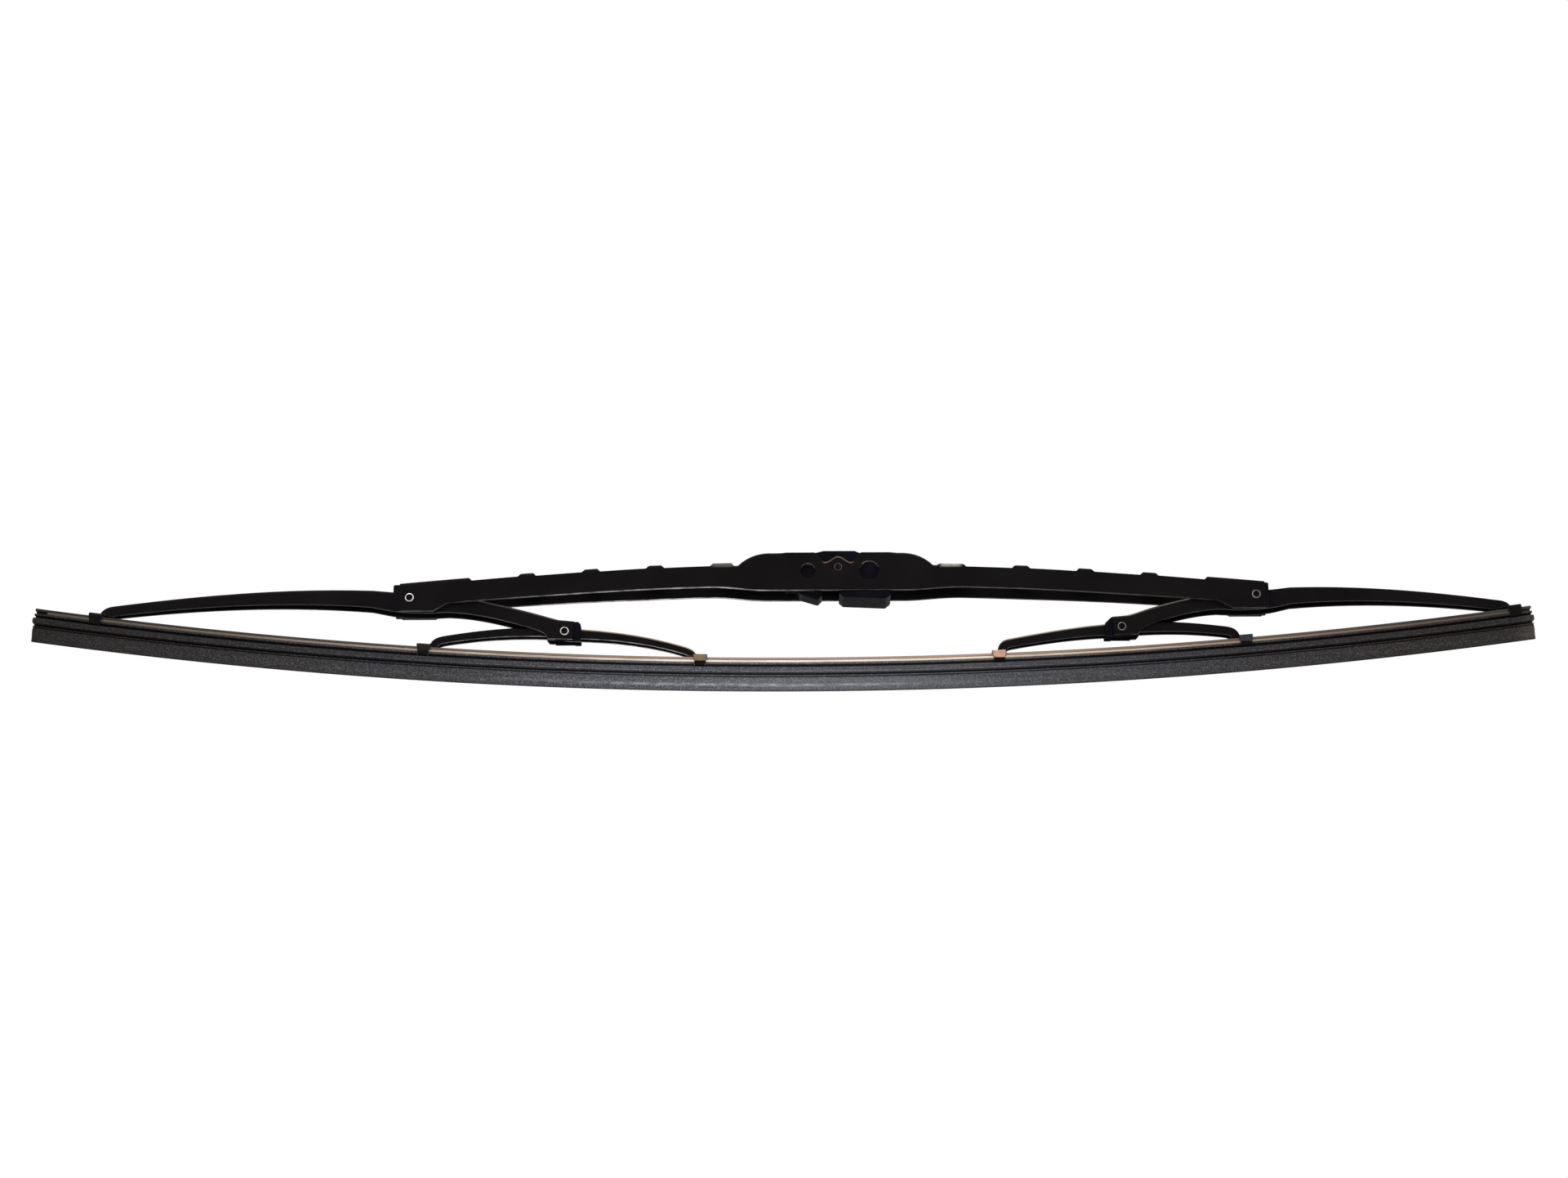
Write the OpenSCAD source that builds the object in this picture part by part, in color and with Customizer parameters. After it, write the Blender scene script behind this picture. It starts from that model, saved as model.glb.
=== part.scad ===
// Bracket wiper blade: a pressed steel bridge on the arm's clip, two levers and two yokes
// riveted under it, and a rubber element on two spring rails held by six claws.
// The frame: +X along the blade, +Y across it, +Z away from the glass.
// The origin is the middle of the centre pin's axis. All sizes are in millimetres.

/* [Wiping strip] */
// Length of the rubber element to the left of its lowest point, along the curve
strip_left = 252; // [250:0.5:256]
// Length of the rubber element to the right of its lowest point, along the curve
strip_right = 243.5; // [240:0.5:248]
// Radius of the curve in which the strip lies
strip_radius = 1764; // [1500:10:4000]
// Distance from the centre pin's axis down to the back of the strip at its lowest point
strip_drop = 29.9; // [28.8:0.1:32]
// Distance from the centre pin to the strip's lowest point, to the left
strip_shift = 14; // [10:0.5:18]
// Distance from each end of the rubber to the end of the rails
rail_inset = 4; // [3:0.1:5]

/* [Rubber section] */
// Height of the whole rubber section
strip_h = 10.8; // [9.8:0.1:12]
// Width of the head above the rails
head_w = 6; // [5.4:0.1:6.4]
// Height of the head above the rails
head_h = 0.85; // [0.7:0.05:1.2]
// Width of the ledge under the rails
ledge_w = 6.2; // [5.6:0.1:6.4]
// Height of the ledge under the rails
ledge_h = 0.6; // [0.5:0.05:0.8]
// Height of the groove that the claw tips run in
groove_h = 1; // [0.9:0.05:1.3]
// Width of the neck between the two grooves
neck_w = 2.4; // [2:0.1:2.8]
// Width of the wing under the claw groove
wing_w = 8.4; // [7:0.1:9]
// Height of the wing
wing_h = 1.65; // [1.2:0.05:1.9]
// Height of the hinge groove under the wing
hinge_h = 0.85; // [0.7:0.05:1.1]
// Thickness of the hinge on which the lip tips over
hinge_w = 1; // [0.8:0.1:1.4]
// Width of the rib on top of the lip
rib_w = 4.4; // [3.8:0.1:5]
// Height of the rib
rib_h = 0.4; // [0.3:0.05:0.6]
// Depth of the fine groove under the rib
rib_groove = 0.5; // [0.3:0.05:0.7]
// Width of the lip's body under the rib
body_w = 4; // [3.4:0.1:4.6]
// Width of the wiping edge
lip_w = 0.7; // [0.5:0.05:0.9]

/* [Spring rails] */
// Width of each rail
rail_w = 2.25; // [2:0.05:2.4]
// Thickness of each rail
rail_t = 1; // [0.8:0.05:1.1]
// Thickness of rubber left between the two rails
rail_web = 1.8; // [1.6:0.1:2]

/* [Sheet and fits] */
// Sheet thickness of the bridge
bridge_t = 1; // [0.8:0.05:1.2]
// Sheet thickness of the levers
lever_t = 0.8; // [0.7:0.05:0.9]
// Sheet thickness of the yokes
yoke_t = 0.7; // [0.6:0.05:0.8]
// Thickness of the plastic liners in the bridge
bridge_liner_t = 0.6; // [0.5:0.05:0.8]
// Thickness of the plastic liners in the levers
lever_liner_t = 0.5; // [0.4:0.05:0.6]
// Clearance on each side of an arm in its liner
side_gap = 0.1; // [0.08:0.01:0.15]
// Clearance round the rivets and the centre pin where a piece turns on them
turn_gap = 0.05; // [0.03:0.01:0.08]
// Clearance between the claws and the strip
claw_gap = 0.15; // [0.12:0.01:0.18]

/* [Bridge] */
// Width of the bridge over its hump
hump_w = 13.2; // [12.9:0.1:13.6]
// Height of the hump's top above the pin
hump_top = 5.2; // [5:0.1:5.4]
// Length of the hump's flat top to the left of the pin
left_flat = 22.8; // [22.4:0.1:23.4]
// Length of the hump's flat top to the right of the pin
right_flat = 21.1; // [20.8:0.1:22]
// Radius of the hump's shoulders
shoulder_r = 14.5; // [13.5:0.5:16]
// Depth of the hump's wall below the pin
hump_drop = 7.9; // [7.6:0.1:8.2]
// Half length of the opening in the hump's top
hook_open = 19; // [18:0.5:20.5]
// Height at which the left arm's crown line passes over the pin
left_crown_top = 2.3; // [2.2:0.05:2.5]
// Height at which the right arm's crown line passes over the pin
right_crown_top = 1.85; // [1.7:0.05:2]
// Radius of the left arm's crown line
left_crown_radius = 1555; // [1500:5:1620]
// Radius of the right arm's crown line
right_crown_radius = 1494; // [1440:2:1550]
// Height of the left arm's walls from the crown to the lower edge
left_wall_h = 8.4; // [8.2:0.1:8.6]
// Height of the right arm's walls from the crown to the lower edge
right_wall_h = 8.2; // [8:0.1:8.4]
// Height of the valleys at the hump's feet above the pin
foot_z = 0.9; // [0.7:0.05:1.1]
// Length of each valley, and of the rise from it to the crown
foot_len = 1.2; // [1:0.1:1.6]
// Depth of the windows' notches below the crown
notch = 1.2; // [1.1:0.05:1.4]
// Distance of the first cross-bar from the pin
bar_first = 60.5; // [59:0.5:62]
// Spacing of the cross-bars
bar_pitch = 21.2; // [20:0.1:21.5]
// Length of the cross-bars' flat tops
bar_flat = 3.9; // [3.5:0.1:5]
// Length of the sloping flank on each side of a cross-bar
bar_slope = 1.05; // [0.8:0.05:1.4]
// Length of the bridge beyond the lever rivets, on the left
left_overhang = 3.4; // [3.2:0.1:4]
// Length of the bridge beyond the lever rivets, on the right
right_overhang = 3; // [2.8:0.1:3.6]
// Depth of the end plates below the lever rivets
plate_drop = 4.6; // [4.2:0.1:5]
// Diameter of the left hole in the hump
left_hole_d = 4.76; // [4.2:0.02:5]
// Diameter of the right hole in the hump
right_hole_d = 6.35; // [6:0.05:6.5]
// Distance of the left hole from the pin
left_hole_x = 10; // [9.5:0.1:11]
// Distance of the right hole from the pin
right_hole_x = 10.3; // [9.8:0.1:11]
// Depth of both holes' centres below the pin
hole_drop = 1.1; // [0.8:0.1:1.4]

/* [Levers] */
// Distance of the left lever's rivet from the pin
left_lever_x = 141.5; // [140:0.1:144]
// Distance of the right lever's rivet from the pin
right_lever_x = 137.9; // [136:0.1:140]
// Depth of the lever rivets below the pin
lever_drop = 9.6; // [9.3:0.1:9.9]
// Distance of the left lever's claw from the pin
left_tip_x = 245.1; // [242:0.1:248]
// Distance of the right lever's claw from the pin
right_tip_x = 223.2; // [220:0.1:225]
// Height of a lever at the root of its long arm
lever_root_h = 6.1; // [5.8:0.1:6.4]
// Height of a lever at its claw
lever_tip_h = 3.2; // [2.8:0.1:3.4]
// Height of the bend above the claw at the end of the left lever
left_tip_bend = 4.7; // [4:0.1:5.4]
// Height of the bend above the claw at the end of the right lever
right_tip_bend = 2.1; // [1.8:0.1:3]

/* [Yokes] */
// Distance of the left yoke's rivet from the pin
left_yoke_x = 90.3; // [89:0.1:92]
// Distance of the right yoke's rivet from the pin
right_yoke_x = 93.4; // [92:0.1:95]
// Height of the left yoke's rivet above the back of the strip
left_yoke_lift = 7.4; // [7.2:0.1:8]
// Height of the right yoke's rivet above the back of the strip
right_yoke_lift = 6.6; // [6.5:0.1:7.2]
// Distance of the left yoke's outer claw from the pin
left_outer_x = 136.6; // [134:0.1:138]
// Distance of the right yoke's outer claw from the pin
right_outer_x = 134.1; // [132:0.1:136]
// Distance of the left yoke's inner claw from the pin
left_inner_x = 45.6; // [44:0.1:48]
// Distance of the right yoke's inner claw from the pin
right_inner_x = 52.8; // [51:0.1:55]
// Width of a yoke at its rivet
yoke_w = 4.6; // [4.4:0.1:4.8]
// Height of a yoke's arms at the rivet
yoke_root_h = 3.3; // [3:0.1:3.4]
// Height of a yoke's arms at the claws
yoke_tip_h = 2; // [1.8:0.1:2.2]

/* [Claws] */
// Length of a claw along the strip at its top
claw_len = 4.6; // [4.2:0.1:5.2]
// Length of a claw along the strip at its tips
claw_tip_len = 3.6; // [3.2:0.1:4]
// Thickness of a claw's tips
tip_t = 0.7; // [0.6:0.05:0.75]
// Gap between the two tips of a claw
tip_gap = 3; // [2.7:0.1:3.4]
// Width of an arm where it runs into its claw
arm_tip_w = 4.2; // [3.8:0.1:4.6]

/* [Rivets and pin] */
// Diameter of the lever rivets' shafts
lever_rivet_d = 2.4; // [2.2:0.05:2.6]
// Diameter of the yoke rivets' shafts
yoke_rivet_d = 2.2; // [2:0.05:2.3]
// Diameter of the rivets' heads
head_d = 3.15; // [3:0.05:3.4]
// Thickness of the rivets' heads
head_t = 0.5; // [0.4:0.05:0.7]
// Diameter of the hollow in the rivets' ends
rivet_hollow_d = 1.5; // [1.3:0.05:1.6]
// Depth of the hollow in the rivets' ends
rivet_hollow_depth = 1.4; // [1:0.1:1.8]
// Diameter of the flared mouths of those hollows
rivet_mouth_d = 2.2; // [2:0.05:2.3]
// Depth of the flared mouths
rivet_mouth_depth = 0.45; // [0.3:0.05:0.6]
// Diameter of the centre pin
pin_d = 2.9; // [2.7:0.05:3.1]
// Diameter of the centre pin's flat heads
pin_head_d = 3.3; // [3.2:0.05:3.5]
// Thickness of those heads
pin_proud = 0.25; // [0.15:0.05:0.5]
// Diameter of the recess in the centre pin's ends
pin_recess_d = 2.2; // [1.8:0.1:2.4]
// Depth of that recess
pin_recess = 0.6; // [0.4:0.05:0.8]

/* [Arm clip] */
// Length of the clip from the pin to its left end
clip_left = 17.6; // [17.2:0.1:17.9]
// Length of the clip from the pin to its right end
clip_right = 17.4; // [16.8:0.1:17.9]
// Height of the clip's saddle above the pin
clip_top = 6; // [5.7:0.1:6.3]
// Thickness of the clip's cheeks
cheek_t = 1.3; // [1.2:0.05:1.35]
// Diameter of the barrel on the pin
barrel_d = 8; // [7.6:0.1:8.4]
// Width of the stop block under the walls
block_w = 12.4; // [12:0.1:12.8]
// Height of the stop block
block_h = 2.1; // [2:0.1:2.5]
// Distance of the stop block's left end from the pin
block_start = 0.3; // [0.2:0.05:0.6]
// Angle through which the bridge can rock on the clip
rock = 18; // [14:1:20]
// Width of the spring latch
latch_w = 7.6; // [7:0.1:8]

/* [Hidden] */

LEFT = 0;
RIGHT = 1;
fine = 96;
far = 60;
steps = 18;
dir = [-1, 1];

lever_x = [left_lever_x, right_lever_x];
tip_x = [left_tip_x, right_tip_x];
yoke_x = [left_yoke_x, right_yoke_x];
outer_x = [left_outer_x, right_outer_x];
inner_x = [left_inner_x, right_inner_x];
yoke_lift = [left_yoke_lift, right_yoke_lift];
tip_bend = [left_tip_bend, right_tip_bend];
overhang = [left_overhang, right_overhang];
hump_flat = [left_flat, right_flat];
crown_top = [left_crown_top, right_crown_top];
crown_radius = [left_crown_radius, right_crown_radius];
wall_h = [left_wall_h, right_wall_h];
lever_hub_h = [2.6, 2.3];
lever_collar = [2, 1.2];
lever_collar_cut = [0.4, 0.4];
yoke_collar = [2.1, 2.3];
yoke_collar_cut = [0.8, 2];

// The strip's curve: its centre, its height at a place and its slope there
strip_z0 = strip_radius - strip_drop;
function back_z(x) = strip_z0 - sqrt(pow(strip_radius, 2) - pow(x + strip_shift, 2));
function slope(x) = asin((x + strip_shift) / strip_radius);
// The same for a distance from the pin on one side
function side_back_z(side, s) = back_z(dir[side] * s);
function lever_z() = -lever_drop;
function yoke_z(side) = side_back_z(side, yoke_x[side]) + yoke_lift[side];

// Nested widths, from the yokes outwards
lever_in_w = yoke_w + 2 * (side_gap + lever_liner_t);
lever_w = lever_in_w + 2 * lever_t;
end_in_w = lever_w + 2 * (side_gap + bridge_liner_t);
end_w = end_in_w + 2 * bridge_t;
hump_in_w = hump_w - 2 * bridge_t;

// Levels of the rubber section, down from the back
rail_at = head_h;
ledge_at = rail_at + rail_t;
groove_at = ledge_at + ledge_h;
wing_at = groove_at + groove_h;
hinge_at = wing_at + wing_h;
rib_at = hinge_at + hinge_h;
rib_end = rib_at + rib_h;
rail_out = rail_web / 2 + rail_w;

// Claw sizes, from the rails and the ledge that it holds
claw_in = max(rail_out, ledge_w / 2, head_w / 2) + claw_gap;
claw_t = yoke_t + 0.1;
claw_out = claw_in + claw_t;
claw_top = claw_gap + claw_t;
claw_tip_top = groove_at + claw_gap;
claw_bottom = claw_tip_top + tip_t;

// Small sizes that only shape an edge
edge_cut = 0.4;

// Points of a cubic curve, and points set off square to a run of points
function cubic(a, b, c, d, t) =
    pow(1 - t, 3) * a + 3 * t * pow(1 - t, 2) * b + 3 * t * t * (1 - t) * c + pow(t, 3) * d;
function run(a, b, c, d) = [for (i = [0:steps]) cubic(a, b, c, d, i / steps)];
function along(p, i) = p[min(i + 1, len(p) - 1)] - p[max(i - 1, 0)];
function square_to(v) = [-v[1], v[0]] / norm(v);
function set_off(p, dist) = [for (i = [0:len(p) - 1])
    p[i] + (is_list(dist) ? dist[i] : dist) * square_to(along(p, i))];
function longer(p, more) = let (n = len(p), a = p[0] - p[1], b = p[n - 1] - p[n - 2])
    concat([p[0] + more * a / norm(a)], p, [p[n - 1] + more * b / norm(b)]);
function backwards(p) = [for (i = [len(p) - 1:-1:0]) p[i]];
function arm_heights(root, tip) = [for (i = [0:steps]) (tip + (root - tip) * pow(1 - i / steps, 1.6)) / 2];
function negated(v) = [for (h = v) -h];

// A side outline drawn in X and Z, and a plan drawn in X and Y, each made solid
module upright(w) {
    rotate([90, 0, 0])
        linear_extrude(w, center = true)
            children();
}

module in_plan() {
    linear_extrude(2 * far, center = true)
        children();
}

// Left pieces are drawn on the right and mirrored
module on_side(side) {
    if (side == LEFT) mirror([1, 0, 0]) children();
    else children();
}

module cross_bore(x, z, d) {
    translate([x, 0, z])
        rotate([90, 0, 0])
            cylinder(h = far, d = d, center = true, $fn = fine);
}

// Strip: places at a distance s from the pin, square to the curve
module on_strip(side, s) {
    translate([s, 0, side_back_z(side, s)])
        rotate([0, -dir[side] * slope(dir[side] * s), 0])
            children();
}

function section_half() = [
    [head_w / 2, 0],
    [head_w / 2, rail_at],
    [rail_web / 2, rail_at],
    [rail_web / 2, ledge_at],
    [ledge_w / 2, ledge_at],
    [ledge_w / 2, groove_at - 0.15],
    [ledge_w / 2 - 0.25, groove_at],
    [neck_w / 2, groove_at],
    [neck_w / 2, wing_at],
    [wing_w / 2 - 0.35, wing_at],
    [wing_w / 2, wing_at + 0.3],
    [wing_w / 2, hinge_at - 0.55],
    [wing_w / 2 - 0.5, hinge_at],
    [hinge_w / 2, hinge_at],
    [hinge_w / 2, rib_at],
    [rib_w / 2 - 0.2, rib_at],
    [rib_w / 2, rib_at + 0.15],
    [rib_w / 2, rib_end],
    [body_w / 2 - rib_groove, rib_end + 0.15],
    [body_w / 2, rib_end + 0.45],
    [body_w / 2 - 0.2, rib_end + 1.5],
    [lip_w / 2 + 0.25, strip_h - 1.2],
    [lip_w / 2, strip_h]];

module swept(inset, shape_fn = 1440) {
    to_left = (strip_left - inset) / strip_radius * 180 / PI;
    to_right = (strip_right - inset) / strip_radius * 180 / PI;
    translate([-strip_shift, 0, strip_z0])
        rotate([90, 0, 0])
            rotate([0, 0, 270 - to_left])
                rotate_extrude(angle = to_left + to_right, $fn = shape_fn)
                    translate([strip_radius, 0])
                        children();
}

module rubber_element() {
    half = section_half();
    color([0.16, 0.16, 0.17])
        swept(0)
            polygon(concat([for (p = half) [p[1], p[0]]], [for (p = backwards(half)) [p[1], -p[0]]]));
}

module rail(facing) {
    color([0.62, 0.55, 0.48])
        swept(rail_inset)
            translate([rail_at, facing < 0 ? rail_web / 2 : -rail_web / 2 - rail_w])
                square([rail_t, rail_w]);
}

module rail_front() {
    rail(-1);
}

module rail_back() {
    rail(1);
}

// Claw: a plate over the rubber's head, two walls and two tips in the groove
module claw() {
    top = claw_len / 2;
    low = claw_tip_len / 2;
    difference() {
        upright(2 * claw_out)
            polygon([[-top, claw_top], [top, claw_top], [top, 0], [low, -rail_at - rail_t],
                [low, -claw_bottom], [-low, -claw_bottom], [-low, -rail_at - rail_t], [-top, 0]]);
        translate([-far, -claw_in, -claw_tip_top])
            cube([2 * far, 2 * claw_in, claw_tip_top + claw_gap]);
        translate([-far, -tip_gap / 2, -far])
            cube([2 * far, tip_gap, far]);
        for (m = [0, 1])
            mirror([0, m, 0])
                translate([0, claw_out, claw_top])
                    rotate([45, 0, 0])
                        cube([2 * far, edge_cut, edge_cut], center = true);
    }
}

// A pressed channel, open downwards: crown and edge are runs of points, halves is its plan
module channel(crown, edge, halves, t, hollow_from, hollow_to) {
    inner = longer(set_off(crown, -t), 2 * t);
    difference() {
        intersection() {
            upright(far)
                polygon(concat(crown, backwards(edge)));
            in_plan()
                polygon(concat(halves, [for (p = backwards(halves)) [p[0], -p[1]]]));
        }
        intersection() {
            upright(far)
                polygon(concat(inner, [[inner[len(inner) - 1][0], -far], [inner[0][0], -far]]));
            in_plan()
                polygon(concat([for (p = halves) [p[0], p[1] - t]],
                    [for (p = backwards(halves)) [p[0], t - p[1]]]));
            translate([hollow_from, -far, -far])
                cube([hollow_to - hollow_from, 2 * far, 2 * far]);
        }
    }
}

// Bridge
function crown_z(side, s) = crown_top[side] - crown_radius[side] + sqrt(pow(crown_radius[side], 2) - s * s);
function blend01(t) = let (c = min(1, max(0, t))) c * c * (3 - 2 * c);
function wall_low_z(side, s) = let (k = blend01((s - hump_flat[side] - 1) / 20))
    (1 - k) * -hump_drop + k * (crown_z(side, s) - wall_h[side]);
function shoulder_z(side, s) = hump_top - shoulder_r
    + sqrt(pow(shoulder_r, 2) - pow(s - hump_flat[side], 2));
shoulder_len = sqrt(pow(shoulder_r, 2) - pow(foot_z - hump_top + shoulder_r, 2));
function shoulder_end(side) = hump_flat[side] + shoulder_len;
function bridge_end(side) = lever_x[side] + overhang[side];
w_dip = 1.8;
w_bump = 3.8;
w_half = 4.3;
w_rise = 3.7;
function ease(a, b, t) = a + (b - a) * (1 - cos(180 * t)) / 2;
function w_cut() = concat(
    [for (i = [8:-1:1]) [-w_half - w_rise * i / 8, ease(w_dip, hump_top, i / 8)]],
    [for (i = [-8:8]) [w_half * i / 8, ease(w_bump, w_dip, abs(i) / 8)]],
    [for (i = [1:8]) [w_half + w_rise * i / 8, ease(w_dip, hump_top, i / 8)]]);
function foot_x(side) = shoulder_end(side) + 2 * foot_len;
function bridge_top(side) = concat(
    [for (i = [0:8]) let (s = hump_flat[side] + shoulder_len * i / 8) [s, shoulder_z(side, s)]],
    [[shoulder_end(side) + foot_len, foot_z]],
    [for (i = [0:14]) let (s = foot_x(side) + (bridge_end(side) - foot_x(side)) * i / 14) [s, crown_z(side, s)]]);
function step_from(side) = lever_x[side] - 7.7;
function bridge_low(side) = concat(
    [for (i = [0:22]) let (s = hump_flat[side] - 1 + (step_from(side) - 5 - hump_flat[side] + 1) * i / 22)
        [s, wall_low_z(side, s)]],
    [[step_from(side), lever_z() - plate_drop], [bridge_end(side), lever_z() - plate_drop]]);
wide_to = 62;
narrow_from = 92;
function bridge_halves(side) = [[0, hump_w / 2], [wide_to, hump_w / 2],
    [narrow_from, end_w / 2 + 0.3], [step_from(side) - 8, end_w / 2],
    [bridge_end(side) + 1, end_w / 2]];

module bridge_half(side) {
    top = concat([[0, hump_top]], bridge_top(side));
    low = concat([[0, -hump_drop]], bridge_low(side));
    difference() {
        channel(top, low, bridge_halves(side), bridge_t, -1, far * 4);
        for (k = [0:3])
            window(side, bar_first + (k - 0.5) * bar_pitch);
        cross_bore(lever_x[side], lever_z(), lever_rivet_d);
    }
}

// One window: the web and both bends are cut down to the notch line
module window(side, mid) {
    base = (bar_pitch - bar_flat) / 2 - bar_slope;
    upright(far)
        polygon(concat(
            [for (i = [-4:4]) let (s = mid + base * i / 4) [s, crown_z(side, s) - notch]],
            [[mid + base + bar_slope, crown_z(side, mid + base)], [mid + base + bar_slope, far],
            [mid - base - bar_slope, far], [mid - base - bar_slope, crown_z(side, mid - base)]]));
}

module bridge() {
    color([0.09, 0.085, 0.085])
        difference() {
            union() {
                for (side = [LEFT, RIGHT])
                    on_side(side) bridge_half(side);
            }
            translate([-hook_open, -hump_in_w / 2, 0])
                cube([2 * hook_open, hump_in_w, far]);
            upright(far)
                polygon(concat(w_cut(), [[w_half + w_rise, far], [-w_half - w_rise, far]]));
            cross_bore(0, 0, pin_d);
            cross_bore(-left_hole_x, -hole_drop, left_hole_d);
            cross_bore(right_hole_x, -hole_drop, right_hole_d);
        }
}

// Levers
lever_nose_h = 3.6;
function long_arm(side) = let (
    s0 = lever_x[side] + 7.7,
    s3 = tip_x[side],
    z3 = side_back_z(side, s3) + claw_top - 0.3,
    span = s3 - s0)
    run([s0, lever_z()], [s0 + 0.36 * span, lever_z() + (side == LEFT ? 1.7 : 1.2)],
        [s0 + 0.91 * span, z3 + tip_bend[side]], [s3, z3]);
function lever_crown(side) = let (
    r = lever_x[side], y = yoke_x[side], zr = lever_z(), zy = yoke_z(side), arm = r - y,
    outer = set_off(long_arm(side), arm_heights(lever_root_h, lever_tip_h)))
    concat(
        [[y - 3.2, zy + lever_nose_h], [y + 2, zy + lever_nose_h + 0.5]],
        run([y + 4.5, zy + lever_nose_h + 1.2], [y + 0.30 * arm, zy + 8.2], [y + 0.62 * arm, zr + 0.7],
            [r - 6, zr + lever_hub_h[side] - 0.2]),
        [[r, zr + lever_hub_h[side]], [r + 5.2, zr + lever_hub_h[side]]],
        [for (i = [1:steps]) outer[i]]);
function lever_edge(side) = let (
    r = lever_x[side], y = yoke_x[side], zr = lever_z(), zy = yoke_z(side), arm = r - y,
    outer = set_off(long_arm(side), negated(arm_heights(lever_root_h, lever_tip_h))))
    concat(
        [[y - 2.7, zy - 2.8], [y + 5.4, zy - 2.5], [y + 6.6, zy - 0.6]],
        run([y + 8.5, zy + 0.3], [y + 0.35 * arm, zy + 3.4], [y + 0.55 * arm, zr - 4.9], [r - 12.5, zr - 4.5]),
        [[r - 6, zr - 4.8], [r + 1, zr - 4.6], [r + 6, zr - 4]],
        [for (i = [1:steps]) outer[i]]);
function arm_plan(side) = [[yoke_x[side] - 4, lever_w / 2], [lever_x[side] + 6, lever_w / 2],
    [tip_x[side] - 3, arm_tip_w / 2], [tip_x[side] + 1.5, arm_tip_w / 2]];

module lever(side) {
    color([0.1, 0.095, 0.09])
        on_side(side)
            difference() {
                union() {
                    channel(lever_crown(side), lever_edge(side), arm_plan(side), lever_t,
                        yoke_x[side] - 8, tip_x[side] - 4);
                    on_strip(side, tip_x[side]) claw();
                }
                strip_room(side, tip_x[side]);
                cross_bore(lever_x[side], lever_z(), lever_rivet_d + 2 * turn_gap);
                cross_bore(yoke_x[side], yoke_z(side), yoke_rivet_d);
            }
}

// The space of the head, ledge and groove that an arm's end keeps out of
module strip_room(side, s) {
    on_strip(side, s)
        translate([-2 * claw_len, -claw_in, -claw_tip_top])
            cube([4 * claw_len, 2 * claw_in, claw_tip_top + claw_gap]);
}

module lever_left() {
    lever(LEFT);
}

module lever_right() {
    lever(RIGHT);
}

// Yokes
hub_r = 1.95;
function outer_arm(side) = let (
    s0 = yoke_x[side], s3 = outer_x[side], z0 = yoke_z(side) + 0.1,
    z3 = side_back_z(side, s3) + claw_top - 0.3, span = s3 - s0)
    run([s0, z0], [s0 + 0.31 * span, z0 + 0.6], [s0 + 0.86 * span, z0 + 1], [s3, z3]);
function inner_arm(side) = let (
    s0 = yoke_x[side], s3 = inner_x[side], z0 = yoke_z(side) - 0.3,
    z3 = side_back_z(side, s3) + claw_top - 0.3, span = s3 - s0)
    run([s0, z0], [s0 + 0.31 * span, z0 - 0.4], [s0 + 0.89 * span, z3 + 6.2], [s3, z3]);
function arm_crown(p) = set_off(p, arm_heights(yoke_root_h, yoke_tip_h));
function arm_edge(p) = set_off(p, negated(arm_heights(yoke_root_h, yoke_tip_h)));
function yoke_crown(side) = concat(backwards(set_off(inner_arm(side),
        negated(arm_heights(yoke_root_h, yoke_tip_h)))),
    [for (i = [1:steps]) arm_crown(outer_arm(side))[i]]);
function yoke_edge(side) = concat(backwards(set_off(inner_arm(side),
        arm_heights(yoke_root_h, yoke_tip_h))),
    [for (i = [1:steps]) arm_edge(outer_arm(side))[i]]);
function yoke_plan(side) = [[inner_x[side] - 1.5, arm_tip_w / 2], [inner_x[side] + 4, arm_tip_w / 2],
    [yoke_x[side] - 6, yoke_w / 2], [yoke_x[side] + 6, yoke_w / 2],
    [outer_x[side] - 4, arm_tip_w / 2], [outer_x[side] + 1.5, arm_tip_w / 2]];

module yoke(side) {
    x = yoke_x[side];
    z = yoke_z(side);
    color([0.1, 0.095, 0.09])
        on_side(side)
            difference() {
                union() {
                    channel(yoke_crown(side), yoke_edge(side), yoke_plan(side), yoke_t,
                        inner_x[side] + 3.5, outer_x[side] - 3.5);
                    for (m = [0, 1])
                        mirror([0, m, 0])
                            hub_cheek(x, z);
                    on_strip(side, inner_x[side]) claw();
                    on_strip(side, outer_x[side]) claw();
                }
                strip_room(side, inner_x[side]);
                strip_room(side, outer_x[side]);
                cross_bore(x, z, yoke_rivet_d + 2 * turn_gap);
            }
}

// Round ear of a yoke's wall about its rivet
module hub_cheek(x, z) {
    translate([x, yoke_w / 2, z])
        rotate([90, 0, 0])
            cylinder(h = yoke_t, r = hub_r, $fn = fine);
    translate([x - 4, yoke_w / 2 - yoke_t, z - 2.5])
        cube([8, yoke_t, 2.5]);
}

module yoke_left() {
    yoke(LEFT);
}

module yoke_right() {
    yoke(RIGHT);
}

// Rivets: a hollow-ended shaft with a round head on each wall
module rivet(side, x, z, shaft_d, over) {
    color([0.72, 0.72, 0.72])
        on_side(side)
            translate([x, 0, z])
                rotate([90, 0, 0])
                    difference() {
                        union() {
                            cylinder(h = over, d = shaft_d, center = true, $fn = fine);
                            for (m = [0, 1])
                                mirror([0, 0, m])
                                    translate([0, 0, over / 2])
                                        cylinder(h = head_t, d1 = head_d, d2 = head_d - head_t, $fn = fine);
                        }
                        for (m = [0, 1])
                            mirror([0, 0, m])
                                translate([0, 0, over / 2 + head_t - rivet_hollow_depth]) {
                                    cylinder(h = far, d = rivet_hollow_d, $fn = fine);
                                    translate([0, 0, rivet_hollow_depth - rivet_mouth_depth])
                                        cylinder(h = rivet_mouth_depth, d1 = rivet_hollow_d,
                                            d2 = rivet_mouth_d, $fn = fine);
                                }
                    }
}

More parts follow.
